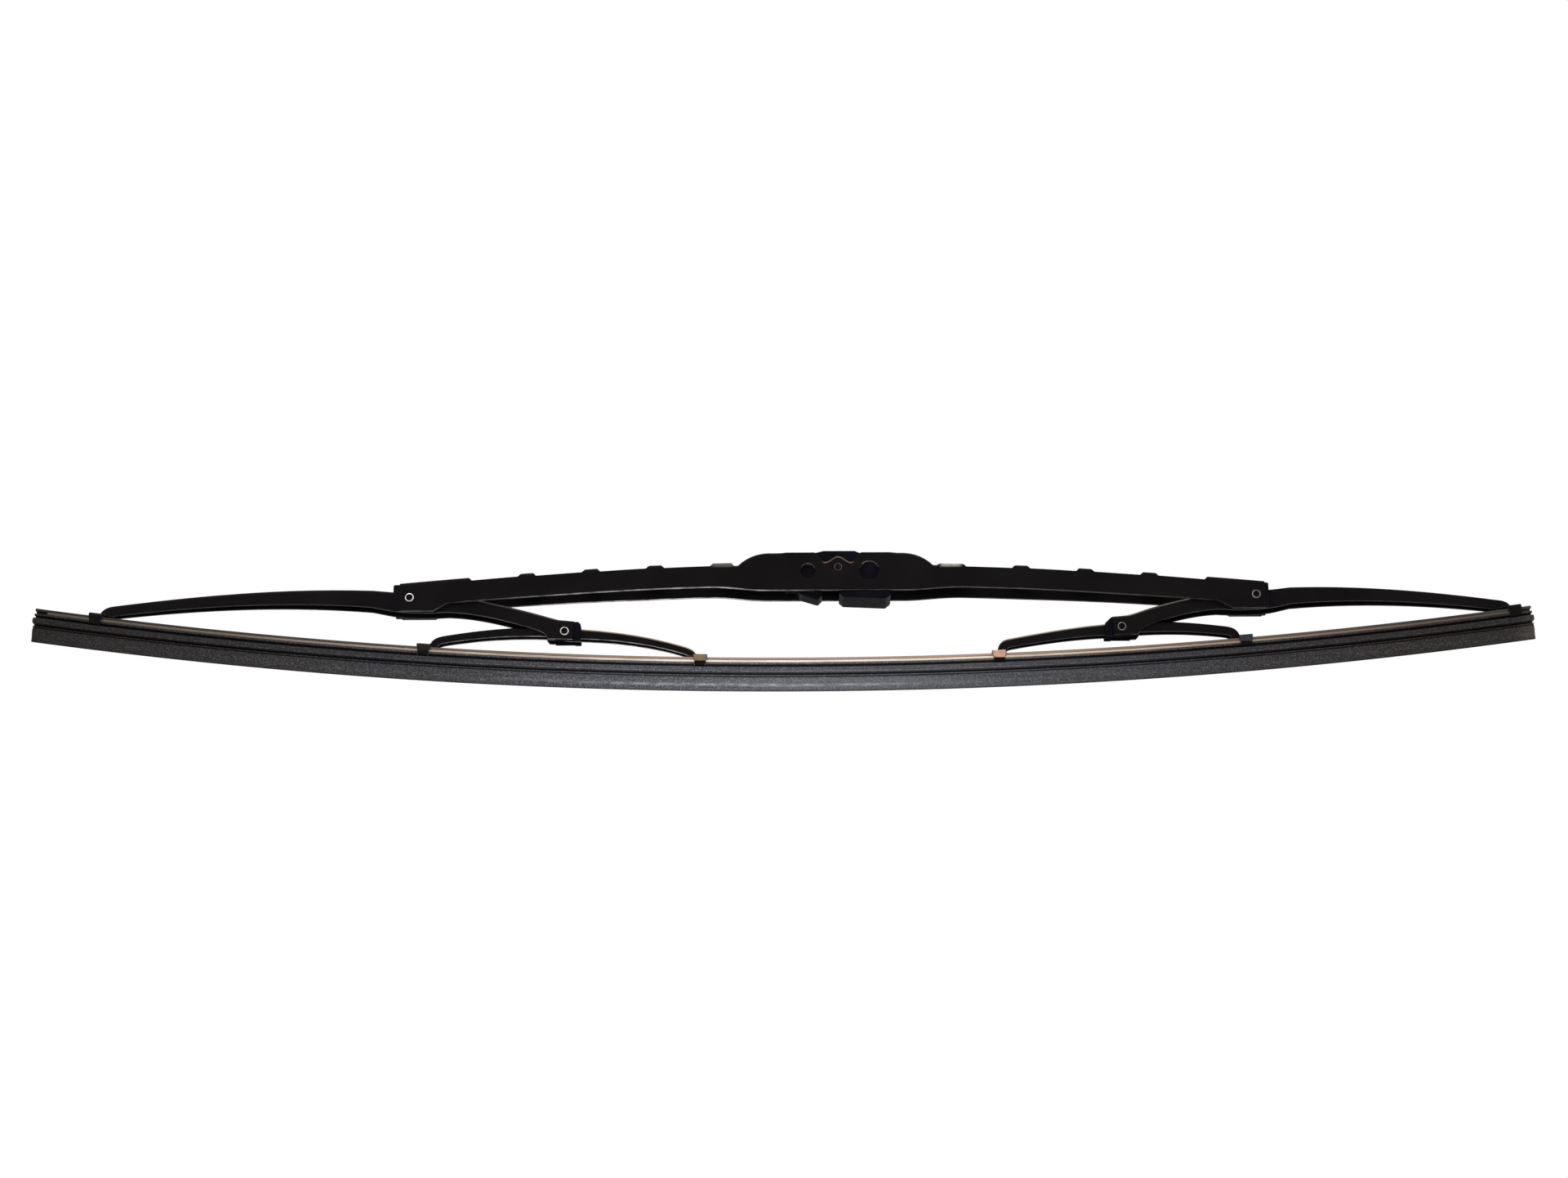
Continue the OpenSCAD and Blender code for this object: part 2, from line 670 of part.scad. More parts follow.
module rivet_lever_left() {
    rivet(LEFT, left_lever_x, lever_z(), lever_rivet_d, end_w);
}

module rivet_lever_right() {
    rivet(RIGHT, right_lever_x, lever_z(), lever_rivet_d, end_w);
}

module rivet_yoke_left() {
    rivet(LEFT, left_yoke_x, yoke_z(LEFT), yoke_rivet_d, lever_w);
}

module rivet_yoke_right() {
    rivet(RIGHT, right_yoke_x, yoke_z(RIGHT), yoke_rivet_d, lever_w);
}

module centre_pin() {
    color([0.7, 0.7, 0.7])
        rotate([90, 0, 0])
            difference() {
                union() {
                    cylinder(h = hump_w, d = pin_d, center = true, $fn = fine);
                    for (m = [0, 1])
                        mirror([0, 0, m])
                            translate([0, 0, hump_w / 2])
                                cylinder(h = pin_proud, d = pin_head_d, $fn = fine);
                }
                for (m = [0, 1])
                    mirror([0, 0, m])
                        translate([0, 0, hump_w / 2 + pin_proud - pin_recess])
                            cylinder(h = far, d = pin_recess_d, $fn = fine);
            }
}

// Liners: a plastic channel in the end of the bridge or a lever, with a collar on its end
module liner(side, x, z, from, to, top, drop, in_w, out_w, collar_w, collar_top, collar, cut, end_x,
        bore_d, has_web) {
    outward = end_x > x ? 1 : -1;
    web_t = (out_w - in_w) / 2;
    color([0.07, 0.07, 0.07])
        on_side(side)
            difference() {
                union() {
                    translate([min(from, to), -out_w / 2, z - drop])
                        cube([abs(to - from), out_w, top + drop]);
                    translate([end_x, 0, z])
                        upright(collar_w)
                            polygon([[0, -drop], [outward * collar, -drop],
                                [outward * collar, collar_top - cut],
                                [outward * (collar - cut), collar_top], [0, collar_top]]);
                }
                translate([-far * 5, -in_w / 2, z - far])
                    cube([far * 10, in_w, far + top - web_t]);
                if (!has_web)
                    translate([min(from, to), -in_w / 2, z])
                        cube([abs(to - from) + 1, in_w, far]);
                cross_bore(x, z, bore_d);
            }
}

// Room under the bridge's web and under a lever's web at their liners
seat_gap = 0.05;
function bridge_room(side) = crown_z(side, bridge_end(side)) - bridge_t - seat_gap - lever_z();
lever_room = lever_nose_h - lever_t - seat_gap;

module bush_lever(side) {
    x = lever_x[side];
    liner(side, x, lever_z(), x - 4, bridge_end(side), bridge_room(side), plate_drop - 0.3,
        lever_w + 2 * side_gap, end_in_w, end_w - 0.3, bridge_room(side) + bridge_t - 0.6,
        lever_collar[side], lever_collar_cut[side], bridge_end(side), lever_rivet_d + 2 * turn_gap, true);
}

module bush_lever_left() {
    bush_lever(LEFT);
}

module bush_lever_right() {
    bush_lever(RIGHT);
}

module bush_yoke(side) {
    x = yoke_x[side];
    liner(side, x, yoke_z(side), x + 3.2, x - 3.2, lever_room, 3.1,
        yoke_w + 2 * side_gap, lever_in_w, lever_w - 0.3, lever_room + 0.5,
        yoke_collar[side], yoke_collar_cut[side], x - 3.2, yoke_rivet_d + 2 * turn_gap, false);
}

module bush_yoke_left() {
    bush_yoke(LEFT);
}

module bush_yoke_right() {
    bush_yoke(RIGHT);
}

// Arm clip: two cheeks, a barrel on the pin, a saddle, a stop block and a spring latch
module adapter() {
    w = hump_in_w - 2 * side_gap;
    low = -hump_drop - 0.12;
    slant = (block_start + 1) * tan(rock) + 0.1;
    color([0.1, 0.1, 0.11])
        difference() {
            union() {
                difference() {
                    upright(w)
                        polygon([[-clip_left, -6.4], [-clip_left, 1.6], [-clip_left + 1, 2.6], [-9.4, 2.6],
                            [-8.5, clip_top - 0.9], [-4.9, clip_top], [5.5, clip_top], [7, clip_top - 0.6],
                            [8.2, clip_top - 0.9], [9.4, 2.6],
                            [clip_right - 1.2, 2.6], [clip_right, 1.4], [clip_right, low],
                            [block_start + 2.5, low], [block_start + 2.5, -4.6], [-8, -4.6]]);
                    upright(w - 2 * cheek_t)
                        polygon([[-clip_left + 1.6, -5], [-clip_left + 1.6, far], [clip_right + 1, far],
                            [clip_right + 1, low + 1], [-4, low + 1]]);
                }
                rotate([90, 0, 0])
                    cylinder(h = w, d = barrel_d, center = true, $fn = fine);
                upright(w)
                    polygon([[-3.2, 2.4], [-4.9, clip_top], [5.5, clip_top], [3.4, 2.2]]);
                upright(block_w)
                    polygon([[block_start, low - slant], [block_start + 1.6, low], [clip_right, low],
                        [clip_right, low - block_h + 0.8], [clip_right - 1.7, low - block_h - 0.6],
                        [block_start + 1.4, low - block_h], [block_start, low - block_h + 1.2]]);
                upright(w - 2 * cheek_t)
                    polygon([[block_start + 2.5, low + 1.2], [clip_right, low + 1.2],
                        [clip_right, low - 0.5], [block_start + 2.5, low - 0.5]]);
                upright(latch_w)
                    polygon([[-clip_left, -6.6], [-clip_left, -5], [-14.4, -4.9], [-12.3, -6.9], [-5.3, -8.2],
                        [-5.3, -8.9], [-6.5, -10.2], [-7, -10.3], [-11.8, -8.8], [-12.8, -8.2],
                        [-13.9, -6.6], [-15.4, -6.1]]);
            }
            cross_bore(0, 0, pin_d + 2 * turn_gap);
        }
}

bridge();
centre_pin();
adapter();
lever_left();
lever_right();
yoke_left();
yoke_right();
rivet_lever_left();
rivet_lever_right();
rivet_yoke_left();
rivet_yoke_right();
bush_lever_left();
bush_lever_right();
bush_yoke_left();
bush_yoke_right();
rubber_element();
rail_front();
rail_back();
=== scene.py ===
import bmesh
import bpy
import math
import numpy as np
from mathutils import Matrix, Quaternion, Vector


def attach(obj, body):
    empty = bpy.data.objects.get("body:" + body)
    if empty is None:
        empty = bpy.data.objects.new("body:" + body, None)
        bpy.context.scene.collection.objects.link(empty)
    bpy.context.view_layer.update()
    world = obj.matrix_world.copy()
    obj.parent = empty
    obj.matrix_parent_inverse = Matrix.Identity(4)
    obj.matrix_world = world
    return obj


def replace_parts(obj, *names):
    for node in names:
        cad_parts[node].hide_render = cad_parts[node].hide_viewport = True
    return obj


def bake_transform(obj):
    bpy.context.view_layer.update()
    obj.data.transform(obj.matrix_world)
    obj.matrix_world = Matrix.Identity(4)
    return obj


# Bracket wiper blade. Sizes are in millimetres until a mesh is filled.
# +X runs along the blade, +Y away from the photograph's camera, +Z away from the glass.
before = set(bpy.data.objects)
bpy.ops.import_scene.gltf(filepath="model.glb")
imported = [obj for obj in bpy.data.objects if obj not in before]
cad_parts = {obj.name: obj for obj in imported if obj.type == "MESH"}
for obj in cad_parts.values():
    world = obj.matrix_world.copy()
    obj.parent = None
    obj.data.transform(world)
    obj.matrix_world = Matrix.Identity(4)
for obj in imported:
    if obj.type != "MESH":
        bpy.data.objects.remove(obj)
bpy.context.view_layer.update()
mm = 0.001
print("wiper blade: frame loaded,", len(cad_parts), "nodes")


# Meshes

# One mesh from an array of points and groups of faces; group k takes material k.
def fillMesh(name, points, groups, materials):
    mesh = bpy.data.meshes.new(name)
    corners = np.concatenate([g.ravel() for g in groups]).astype(np.int32)
    sizes = np.concatenate([np.full(len(g), g.shape[1]) for g in groups])
    mesh.vertices.add(len(points))
    mesh.vertices.foreach_set("co", (np.asarray(points, float) * mm).ravel())
    mesh.loops.add(len(corners))
    mesh.loops.foreach_set("vertex_index", corners)
    mesh.polygons.add(len(sizes))
    mesh.polygons.foreach_set("loop_start", (np.cumsum(sizes) - sizes).astype(np.int32))
    which = np.repeat([min(k, len(materials) - 1) for k in range(len(groups))], [len(g) for g in groups])
    mesh.polygons.foreach_set("material_index", which.astype(np.int32))
    for m in materials:
        mesh.materials.append(m)
    mesh.update(calc_edges=True)
    return mesh


# Merges doubles and turns every face outwards. With flat, in degrees, flat faces are made whole again.
def mend(mesh, merge=0.002, flat=0):
    bm = bmesh.new()
    bm.from_mesh(mesh)
    bmesh.ops.remove_doubles(bm, verts=bm.verts, dist=merge * mm)
    if flat:
        bmesh.ops.dissolve_limit(bm, angle_limit=math.radians(flat), verts=bm.verts, edges=bm.edges)
    bmesh.ops.recalc_face_normals(bm, faces=bm.faces)
    bm.to_mesh(mesh)
    bm.free()
    mesh.shade_smooth()
    return mesh


# An object in the scene.
def placed(name, data):
    thing = bpy.data.objects.new(name, data)
    bpy.context.scene.collection.objects.link(thing)
    return thing


# A finished piece with small rounded edges, riding on its body.
def piece(name, mesh, slot, body=None, edge=0.12, segments=2, angle=38, moulded=False):
    thing = placed(name, mesh)
    if edge:
        rounding = thing.modifiers.new("rounding", "BEVEL")
        rounding.width = edge * mm
        rounding.segments = segments
        rounding.limit_method = "ANGLE"
        rounding.angle_limit = math.radians(angle)
        rounding.use_clamp_overlap = False
        rounding.harden_normals = not moulded
        if slot == "painted_steel":
            rounding.material = 1
        rounding.miter_outer = "MITER_ARC"
    if body:
        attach(thing, body)
    return thing


# Quads of a grid of rows x cols points; keep is a mask of (rows - 1) x (cols - 1).
def gridQuads(rows, cols, keep=None):
    at = np.arange(rows * cols).reshape(rows, cols)
    quads = np.stack([at[:-1, :-1], at[1:, :-1], at[1:, 1:], at[:-1, 1:]], axis=-1)
    return quads[keep] if keep is not None else quads.reshape(-1, 4)


# Quads of rows of points, each row closed round, as (rows - 1) x around x 4.
def ringQuads(rows, around):
    at = np.arange(rows * around).reshape(rows, around)
    after = np.roll(at, -1, axis=1)
    return np.stack([at[:-1], after[:-1], after[1:], at[1:]], axis=-1)


# The directed edges of quads that have no face on their other side.
def openEdges(quads, count):
    a = quads.ravel()
    b = np.roll(quads, -1, axis=1).ravel()
    lonely = ~np.isin(a.astype(np.int64) * count + b, b.astype(np.int64) * count + a)
    return a[lonely], b[lonely]


# A sheet with a thickness: outer and inner grids of the same size, joined along every cut edge. The
# outer half of a cut edge is painted like the sheet, and its inner half takes the second material.
def sheetMetal(name, outer, inner, materials, keep=None):
    rows, cols = outer.shape[:2]
    count = rows * cols
    skin = gridQuads(rows, cols, keep)
    a, b = openEdges(skin, count)
    rimOut = np.stack([b, a, a + 2 * count, b + 2 * count], axis=-1)
    rimIn = np.stack([b + 2 * count, a + 2 * count, a + count, b + count], axis=-1)
    lining = skin[:, ::-1] + count
    points = np.concatenate([g.reshape(-1, 3) for g in (outer, inner, (outer + inner) / 2)])
    used = np.unique(np.concatenate([skin.ravel(), lining.ravel(), rimOut.ravel()]))
    renumber = np.zeros(len(points), np.int64)
    renumber[used] = np.arange(len(used))
    groups = [renumber[np.concatenate([skin, lining, rimOut])], renumber[rimIn]]
    return mend(fillMesh(name, points[used], groups, materials))


# A shape turned about Y: x = cx + r cos a, z = cz + r sin a, for a profile of (r, y) points. A third
# number in a point is the material of the band that starts there.
def turned(name, profile, centre, materials, around=56):
    profile = np.array([(*p, 0)[:3] for p in profile], float)
    a = np.linspace(0, 2 * np.pi, around, endpoint=False)
    r, y = profile[:, :1], profile[:, 1:2] + 0 * a
    points = np.stack([centre[0] + r * np.cos(a), centre[1] + y, centre[2] + r * np.sin(a)], axis=-1)
    quads = ringQuads(len(profile), around)
    groups = [quads[profile[:-1, 2] == k].reshape(-1, 4) for k in range(len(materials))]
    return mend(fillMesh(name, points.reshape(-1, 3), groups, materials))


# A turned profile from its first half; each band keeps its material on the far side.
def mirrored(half):
    bands = [h[2] for h in half[-3::-1]] + [0]
    return half + [(r, -y, m) for (r, y, _), m in zip(half[-2::-1], bands)]


# Several meshes with the same materials as one.
def joined(name, meshes):
    bm = bmesh.new()
    for mesh in meshes:
        bm.from_mesh(mesh)
    whole = bpy.data.meshes.new(name)
    bm.to_mesh(whole)
    bm.free()
    for m in meshes[0].materials:
        whole.materials.append(m)
    whole.shade_smooth()
    return whole


# The strip's curve, which everything else stands on. Height and colour follow it.

strip = {
    "left": 252.0, "right": 243.5, "radius": 1764.0, "drop": 29.9, "shift": 14.0, "railInset": 4.0,
    "height": 10.8}
strip["centre"] = strip["radius"] - strip["drop"]


# Materials

# A material and its place in Object coordinates. With kept, the place is the one at rest that
# keepRest leaves on the mesh, so that the pattern stays on a piece that bends.
def newMaterial(name, base, rough, gloss=0.5, metal=0.0, kept=False):
    material = bpy.data.materials.new(name)
    material.use_nodes = True
    material.diffuse_color = (*base, 1)
    nodes = material.node_tree.nodes
    for label, value in (("Base Color", (*base, 1)), ("Roughness", rough), ("Metallic", metal),
                         ("Specular IOR Level", gloss)):
        nodes["Principled BSDF"].inputs[label].default_value = value
    place = nodes.new("ShaderNodeTexCoord").outputs["Object"]
    if kept:
        rest = nodes.new("ShaderNodeAttribute")
        rest.attribute_name = "atRest"
        place = rest.outputs["Vector"]
    return material, place


# A new node in the tree of its linked inputs. A socket is linked, and anything else is a value.
def nodeOf(kind, inputs, **settings):
    linked = [label for label, source in inputs.items() if hasattr(source, "is_linked")]
    tree = inputs[linked[0]].id_data
    node = tree.nodes.new("ShaderNode" + kind)
    for key, value in settings.items():
        setattr(node, key, value)
    for label, source in inputs.items():
        if label in linked:
            tree.links.new(source, node.inputs[label])
        else:
            node.inputs[label].default_value = source
    return node


# Links a finish to its shader; a bump is (height, strength, depth in millimetres).
def finishOf(material, tone=None, rough=None, bump=None, metal=None):
    links = {"Base Color": tone, "Roughness": rough, "Metallic": metal}
    if bump:
        inputs = {"Height": bump[0], "Strength": bump[1], "Distance": bump[2] * mm}
        links["Normal"] = nodeOf("Bump", inputs).outputs["Normal"]
    tree = material.node_tree
    for label, source in links.items():
        if source is not None:
            tree.links.new(source, tree.nodes["Principled BSDF"].inputs[label])
    return material


# Noise at a place; stretch scales the pattern's density along each axis.
def noiseOf(place, scale, detail=3.0, stretch=(1, 1, 1)):
    spot = nodeOf("Mapping", {"Vector": place, "Scale": stretch}).outputs["Vector"]
    return nodeOf("TexNoise", {"Vector": spot, "Scale": scale, "Detail": detail}).outputs["Fac"]


# A ramp with stops of (place, colour).
def rampOf(value, *stops):
    ramp = nodeOf("ValToRGB", {"Fac": value})
    marks = ramp.color_ramp.elements
    while len(marks) < len(stops):
        marks.new(0.5)
    for mark, (where, colour) in zip(marks, stops):
        mark.position = where
        mark.color = (*colour, 1) if hasattr(colour, "__len__") else (colour, colour, colour, 1)
    return ramp.outputs["Color"]


def mixOf(amount, first, second):
    first, second = (c if hasattr(c, "is_linked") else (*c, 1) for c in (first, second))
    return nodeOf("Mix", {0: amount, 6: first, 7: second}, data_type="RGBA").outputs[2]


def mathOf(operation, first, second=0.0):
    return nodeOf("Math", {0: first, 1: second}, operation=operation).outputs[0]


def product(first, second):
    return mathOf("MULTIPLY", first, second)


# A value of start or less gives the first result, one of end or more gives the second.
def shareOf(value, start, end, first=0.0, second=1.0, curve="LINEAR"):
    inputs = {"Value": value, "From Min": start, "From Max": end, "To Min": first, "To Max": second}
    return nodeOf("MapRange", inputs, interpolation_type=curve).outputs["Result"]


def axisOf(vector, axis):
    return nodeOf("SeparateXYZ", {0: vector}).outputs[axis]


# A share of 0 to 1 along one axis of the object, from one place to another, in millimetres.
def placeOn(place, axis, start, end):
    return shareOf(axisOf(place, axis), start * mm, end * mm)


# The upward part of the object's own surface direction, -1 to 1.
def upwards(place):
    return axisOf(place.id_data.nodes["Texture Coordinate"].outputs["Normal"], "Z")


# Depth below the strip's back, as a share of the strip's height.
def depthOf(place):
    flat = nodeOf("VectorMath", {0: place, 1: (1, 0, 1)}, operation="MULTIPLY").outputs["Vector"]
    centre = (-strip["shift"] * mm, 0, strip["centre"] * mm)
    reach = nodeOf("VectorMath", {0: flat, 1: centre}, operation="DISTANCE").outputs["Value"]
    return shareOf(reach, strip["radius"] * mm, (strip["radius"] + strip["height"]) * mm)


# Inside a box 1, falling to 0 over a soft edge. The bounds are (low, high, soft) along X, Y and Z,
# and None leaves an axis open.
def boxMask(place, bounds):
    mask = 1.0
    for axis, limits in zip("XYZ", bounds):
        if limits:
            low, high, soft = limits
            mask = product(mask, placeOn(place, axis, low - soft, low + soft))
            mask = product(mask, placeOn(place, axis, high + soft, high - soft))
    return mask


# A ramp along X, from (x in millimetres, colour) pairs.
def rampAlong(place, stops):
    low, high = stops[0][0], stops[-1][0]
    along = placeOn(place, "X", low, high)
    return rampOf(along, *(((x - low) / (high - low), colour) for x, colour in stops))


paintLook = {  # each row of pale marks is a box as for boxMask, and its colour
    "dark": (0.0052, 0.0041, 0.0043), "light": (0.0085, 0.0069, 0.0071), "dust": (0.04, 0.038, 0.036),
    "tan": (0.2, 0.125, 0.095), "gloss": 0.035, "patch": 55, "peel": 1300, "peelDepth": 0.02,
    "wave": 4.3, "line": (2.2, 2.45), "opening": ((-4.9, 4.9, 0.5), (-9.0, -5.9, 0.1), (1.0, 4.0, 0.1)),
    "rubbedAndHighlit": (
        ((34.0, 40.4, 0.7), (-9.0, -5.35, 0.2), (0.1, 2.2, 0.35), (0.44, 0.41, 0.37)),
        ((-41.6, -35.0, 0.7), (-9.0, -5.35, 0.2), (0.3, 2.6, 0.35), (0.15, 0.13, 0.115)),
        ((50.6, 54.9, 0.2), (-4.6, -3.4, 0.1), (-30.4, -26.9, 0.15), (0.82, 0.47, 0.34)),
        ((-47.8, -43.6, 0.3), (-4.6, -3.4, 0.1), (-31.1, -28.4, 0.2), (0.3, 0.22, 0.12)),
        ((-138.8, -134.4, 0.3), (-4.6, -3.4, 0.1), (-27.2, -24.4, 0.2), (0.026, 0.019, 0.013)),
        ((132.0, 136.2, 0.3), (-4.6, -3.4, 0.1), (-25.2, -22.4, 0.2), (0.05, 0.05, 0.062))),
    "wornAndHighlit": (
        ((55.0, 88.0, 2.0), (-3.4, -0.9, 0.1), (-27.5, -16.0, 0.2), (0.42, 0.33, 0.26)),
        ((-86.0, -47.6, 2.0), (-3.4, -0.9, 0.1), (-28.5, -16.0, 0.2), (0.46, 0.3, 0.2)),
        ((94.0, 122.0, 4.0), (-4.2, -2.4, 0.1), (-17.5, -7.4, 0.2), (0.16, 0.13, 0.11)),
        ((-124.0, -92.0, 4.0), (-4.2, -2.4, 0.1), (-17.5, -7.4, 0.2), (0.09, 0.075, 0.065)))}


# Satin black paint over pressed steel: slow tone change, orange peel and fine dust. Beside the hump
# it is rubbed pale, partly as a painted highlight, and on the claws paler, coloured patches are painted
# reflections of the light. Painted highlights also run along the upward-turned bends of the levers and
# yokes and in a thin line under the W-shaped cut, whose edge runs at height = 2.8 + cos(pi x / wave).
def paintedSteel():
    look = paintLook
    material, place = newMaterial("paintedSteel", look["dark"], 0.34, look["gloss"])
    tone = rampOf(noiseOf(place, look["patch"], 4), (0.35, look["dark"]), (0.7, look["light"]))
    tone = mixOf(rampOf(noiseOf(place, 2100, 1.5), (0.74, 0.0), (0.8, 0.4)), tone, look["dust"])
    breaks = rampOf(noiseOf(place, 900), (0.3, 0.72), (0.6, 1.0))
    # Pale patches beside the hump, partly rubbed paint and partly painted highlight, and painted
    # reflections on the claws.
    for *bounds, colour in look["rubbedAndHighlit"]:
        tone = mixOf(product(boxMask(place, bounds), breaks), tone, colour)
    rise = upwards(place)
    bend = product(shareOf(rise, 0.2, 0.5), shareOf(rise, 0.98, 0.88))
    # Painted highlights along bends that turn upward, where the light from above catches them.
    for *bounds, colour in look["wornAndHighlit"]:
        tone = mixOf(product(boxMask(place, bounds), product(bend, breaks)), tone, colour)
    # A painted highlight: a thin pale brown line along the edge of the W-shaped cut.
    wave = mathOf("COSINE", product(axisOf(place, "X"), math.pi / (look["wave"] * mm)))
    under = mathOf("SUBTRACT", product(axisOf(place, "Z"), 1 / mm), wave)
    line = product(shareOf(under, *look["line"]), boxMask(place, look["opening"]))
    tone = mixOf(product(line, breaks), tone, look["tan"])
    rough = rampOf(noiseOf(place, 160), (0.3, 0.28), (0.75, 0.42))
    return finishOf(material, tone, rough, (noiseOf(place, look["peel"]), 0.35, look["peelDepth"]))


# Along X, how much of the down-facing cut edges turns bright, partly wear and partly painted highlight; and
# a box of painted highlight about the hook's opening.
cutLook = {
    "paint": (0.0065, 0.0055, 0.0056), "bare": (0.98, 0.98, 1.0), "length": 210,
    "bridge": ((-160, 0.3), (-128, 0.15), (-104, 0.35), (-88, 0.85), (-60, 1.0), (-32, 1.0),
               (-14, 0.35), (0, 0.16), (60, 0.12), (120, 0.08), (150, 0.12)),
    "levers": ((-250, 0.08), (-200, 0.04), (-140, 0.05), (-112, 0.14), (-98, 0.4), (-86, 0.9),
               (86, 0.1), (110, 0.03), (230, 0.02)),
    "yokes": ((-140, 0.35), (-90, 0.75), (-45, 1.0), (52, 0.08), (96, 0.06), (140, 0.04)),
    "opening": ((-9.5, 9.5, 1.0), None, (1.2, 9.0, 0.2)), "tan": (0.42, 0.27, 0.2)}


# The cut edges of the sheet: thin paint. Where they face down they turn to bright bare steel, partly
# wear and partly a painted highlight of the light from below, laid on more on the left than on the
# right. About the hook's opening they are painted pale brown, a painted highlight on the rims.
def cutEdge(name, wearAndHighlight):
    look = cutLook
    material, place = newMaterial(name, look["paint"], 0.3, 0.05)
    breaks = rampOf(noiseOf(place, look["length"], 4), (0.36, 0.25), (0.6, 1.0))
    # Bright bare steel where the edges face down: partly wear, partly painted highlight.
    wornAndHighlit = product(rampAlong(place, wearAndHighlight), breaks)
    wornAndHighlit = product(wornAndHighlit, shareOf(upwards(place), -0.15, -0.45))
    tone = mixOf(wornAndHighlit, look["paint"], look["bare"])
    tone = mixOf(boxMask(place, look["opening"]), tone, look["tan"])
    rough = rampOf(noiseOf(place, 900, 2), (0.3, 0.24), (0.7, 0.42))
    return finishOf(material, tone, rough, (noiseOf(place, 1800, 2), 0.3, 0.02), wornAndHighlit)


# The near-black colour for the hollows here is painted shade.
rivetLook = {
    "stain": (0.16, 0.14, 0.12), "recessShade": (0.006, 0.005, 0.007),
    "tone": ((-142, (0.9, 0.88, 0.85)), (-120, (0.85, 0.83, 0.8)), (-90, (0.7, 0.67, 0.62)),
             (0, (0.3, 0.3, 0.3)), (90, (0.16, 0.15, 0.15)), (138, (0.26, 0.25, 0.25)))}


# Zinc-plated steel: lighter at the left end and darker on the right, stained in patches.
def rivetSteel():
    look = rivetLook
    material, place = newMaterial("rivetSteel", (0.5, 0.48, 0.46), 0.28, metal=1.0)
    stain = rampOf(noiseOf(place, 620), (0.36, 0.85), (0.58, 0.0))
    tone = mixOf(stain, rampAlong(place, look["tone"]), look["stain"])
    rough = rampOf(noiseOf(place, 1500, 2), (0.3, 0.2), (0.7, 0.4))
    return finishOf(material, tone, rough, (noiseOf(place, 2600, 2), 0.25, 0.02))


# Painted shade: a near-black material for the rivets' hollows.
def hollowShade():
    material, place = newMaterial("hollowShade", rivetLook["recessShade"], 0.3, 0.1)
    return finishOf(material, rough=rampOf(noiseOf(place, 1600), (0.35, 0.22), (0.7, 0.5)))


# The tone ramp along X is a painted reflection of the light; the dark tone marks the drawing lines and is
# also laid on as painted shade.
railLook = {
    "line": (60, 900, 1600), "darkTone": (0.16, 0.12, 0.09),
    "tone": ((-262, (0.075, 0.06, 0.048)), (-205, (0.16, 0.125, 0.095)), (-150, (0.34, 0.27, 0.21)),
             (-90, (0.66, 0.56, 0.46)), (-30, (1.0, 0.94, 0.85)), (40, (1.0, 0.88, 0.74)),
             (90, (0.72, 0.53, 0.41)), (140, (0.34, 0.25, 0.19)), (190, (0.14, 0.105, 0.082)),
             (222, (0.07, 0.056, 0.046)), (228, (0.19, 0.17, 0.15)))}


# Drawn spring steel with lengthwise drawing lines. Its tone along the blade is a painted reflection,
# bright and warm in the middle where the light in front is mirrored, and dark to its ends; faces turned
# up or down are painted darker as painted shade of the rail's rounding.
def springSteel():
    look = railLook
    material, place = newMaterial("springSteel", (0.5, 0.42, 0.34), 0.34, 0.2, 0.45, kept=True)
    rise = upwards(place)
    # Painted shade: faces turning up or down are darkened.
    upDownShade = mathOf("MAXIMUM", shareOf(rise, 0.3, 0.8), shareOf(rise, -0.4, -0.9))
    tone = mixOf(product(upDownShade, 0.7), rampAlong(place, look["tone"]), look["darkTone"])
    lines = noiseOf(place, 1.0, 3, look["line"])
    tone = mixOf(rampOf(lines, (0.4, 0.0), (0.62, 0.4)), tone, look["darkTone"])
    rough = rampOf(lines, (0.35, 0.24), (0.7, 0.46))
    return finishOf(material, tone, rough, (lines, 0.25, 0.02))


rubberLook = {
    "line": (18, 500, 900), "streak": (260, 500, 1400), "grain": 2200, "pale": (0.42, 0.44, 0.5),
    "band": (0.6, 0.63, 0.7), "darkTone": (0.018, 0.016, 0.017), "groove": (0.004, 0.004, 0.005),
    "tone": ((-266, (0.024, 0.019, 0.016)), (-200, (0.036, 0.031, 0.028)),
             (-130, (0.066, 0.062, 0.065)), (-60, (0.14, 0.142, 0.16)), (-20, (0.19, 0.194, 0.215)),
             (20, (0.18, 0.184, 0.2)), (70, (0.115, 0.115, 0.128)), (130, (0.058, 0.053, 0.054)),
             (190, (0.04, 0.032, 0.027)), (222, (0.032, 0.026, 0.02)), (228, (0.085, 0.075, 0.062)),
             (236, (0.12, 0.11, 0.095))),
    "head": ((-266, (0.03, 0.025, 0.022)), (-150, (0.09, 0.072, 0.06)), (-60, (0.42, 0.3, 0.23)),
             (40, (0.52, 0.36, 0.27)), (120, (0.2, 0.145, 0.115)), (200, (0.05, 0.04, 0.034)),
             (236, (0.09, 0.08, 0.07))),
    "depth": ((0.0, 1.0), (0.22, 0.9), (0.235, 0.05), (0.315, 0.05), (0.33, 0.55), (0.44, 0.6),
              (0.455, 0.95), (0.475, 0.9), (0.487, 0.04), (0.525, 0.04), (0.535, 0.95), (0.56, 0.9),
              (0.572, 0.35), (0.59, 0.85), (0.76, 0.85), (0.82, 1.0), (0.87, 0.85), (0.97, 0.75),
              (0.99, 0.3)),
    "bloomAndHighlight": ((-266, 0.1), (-130, 0.35), (-50, 0.9), (-10, 0.8), (30, 0.55), (110, 0.3), (230, 0.15))}
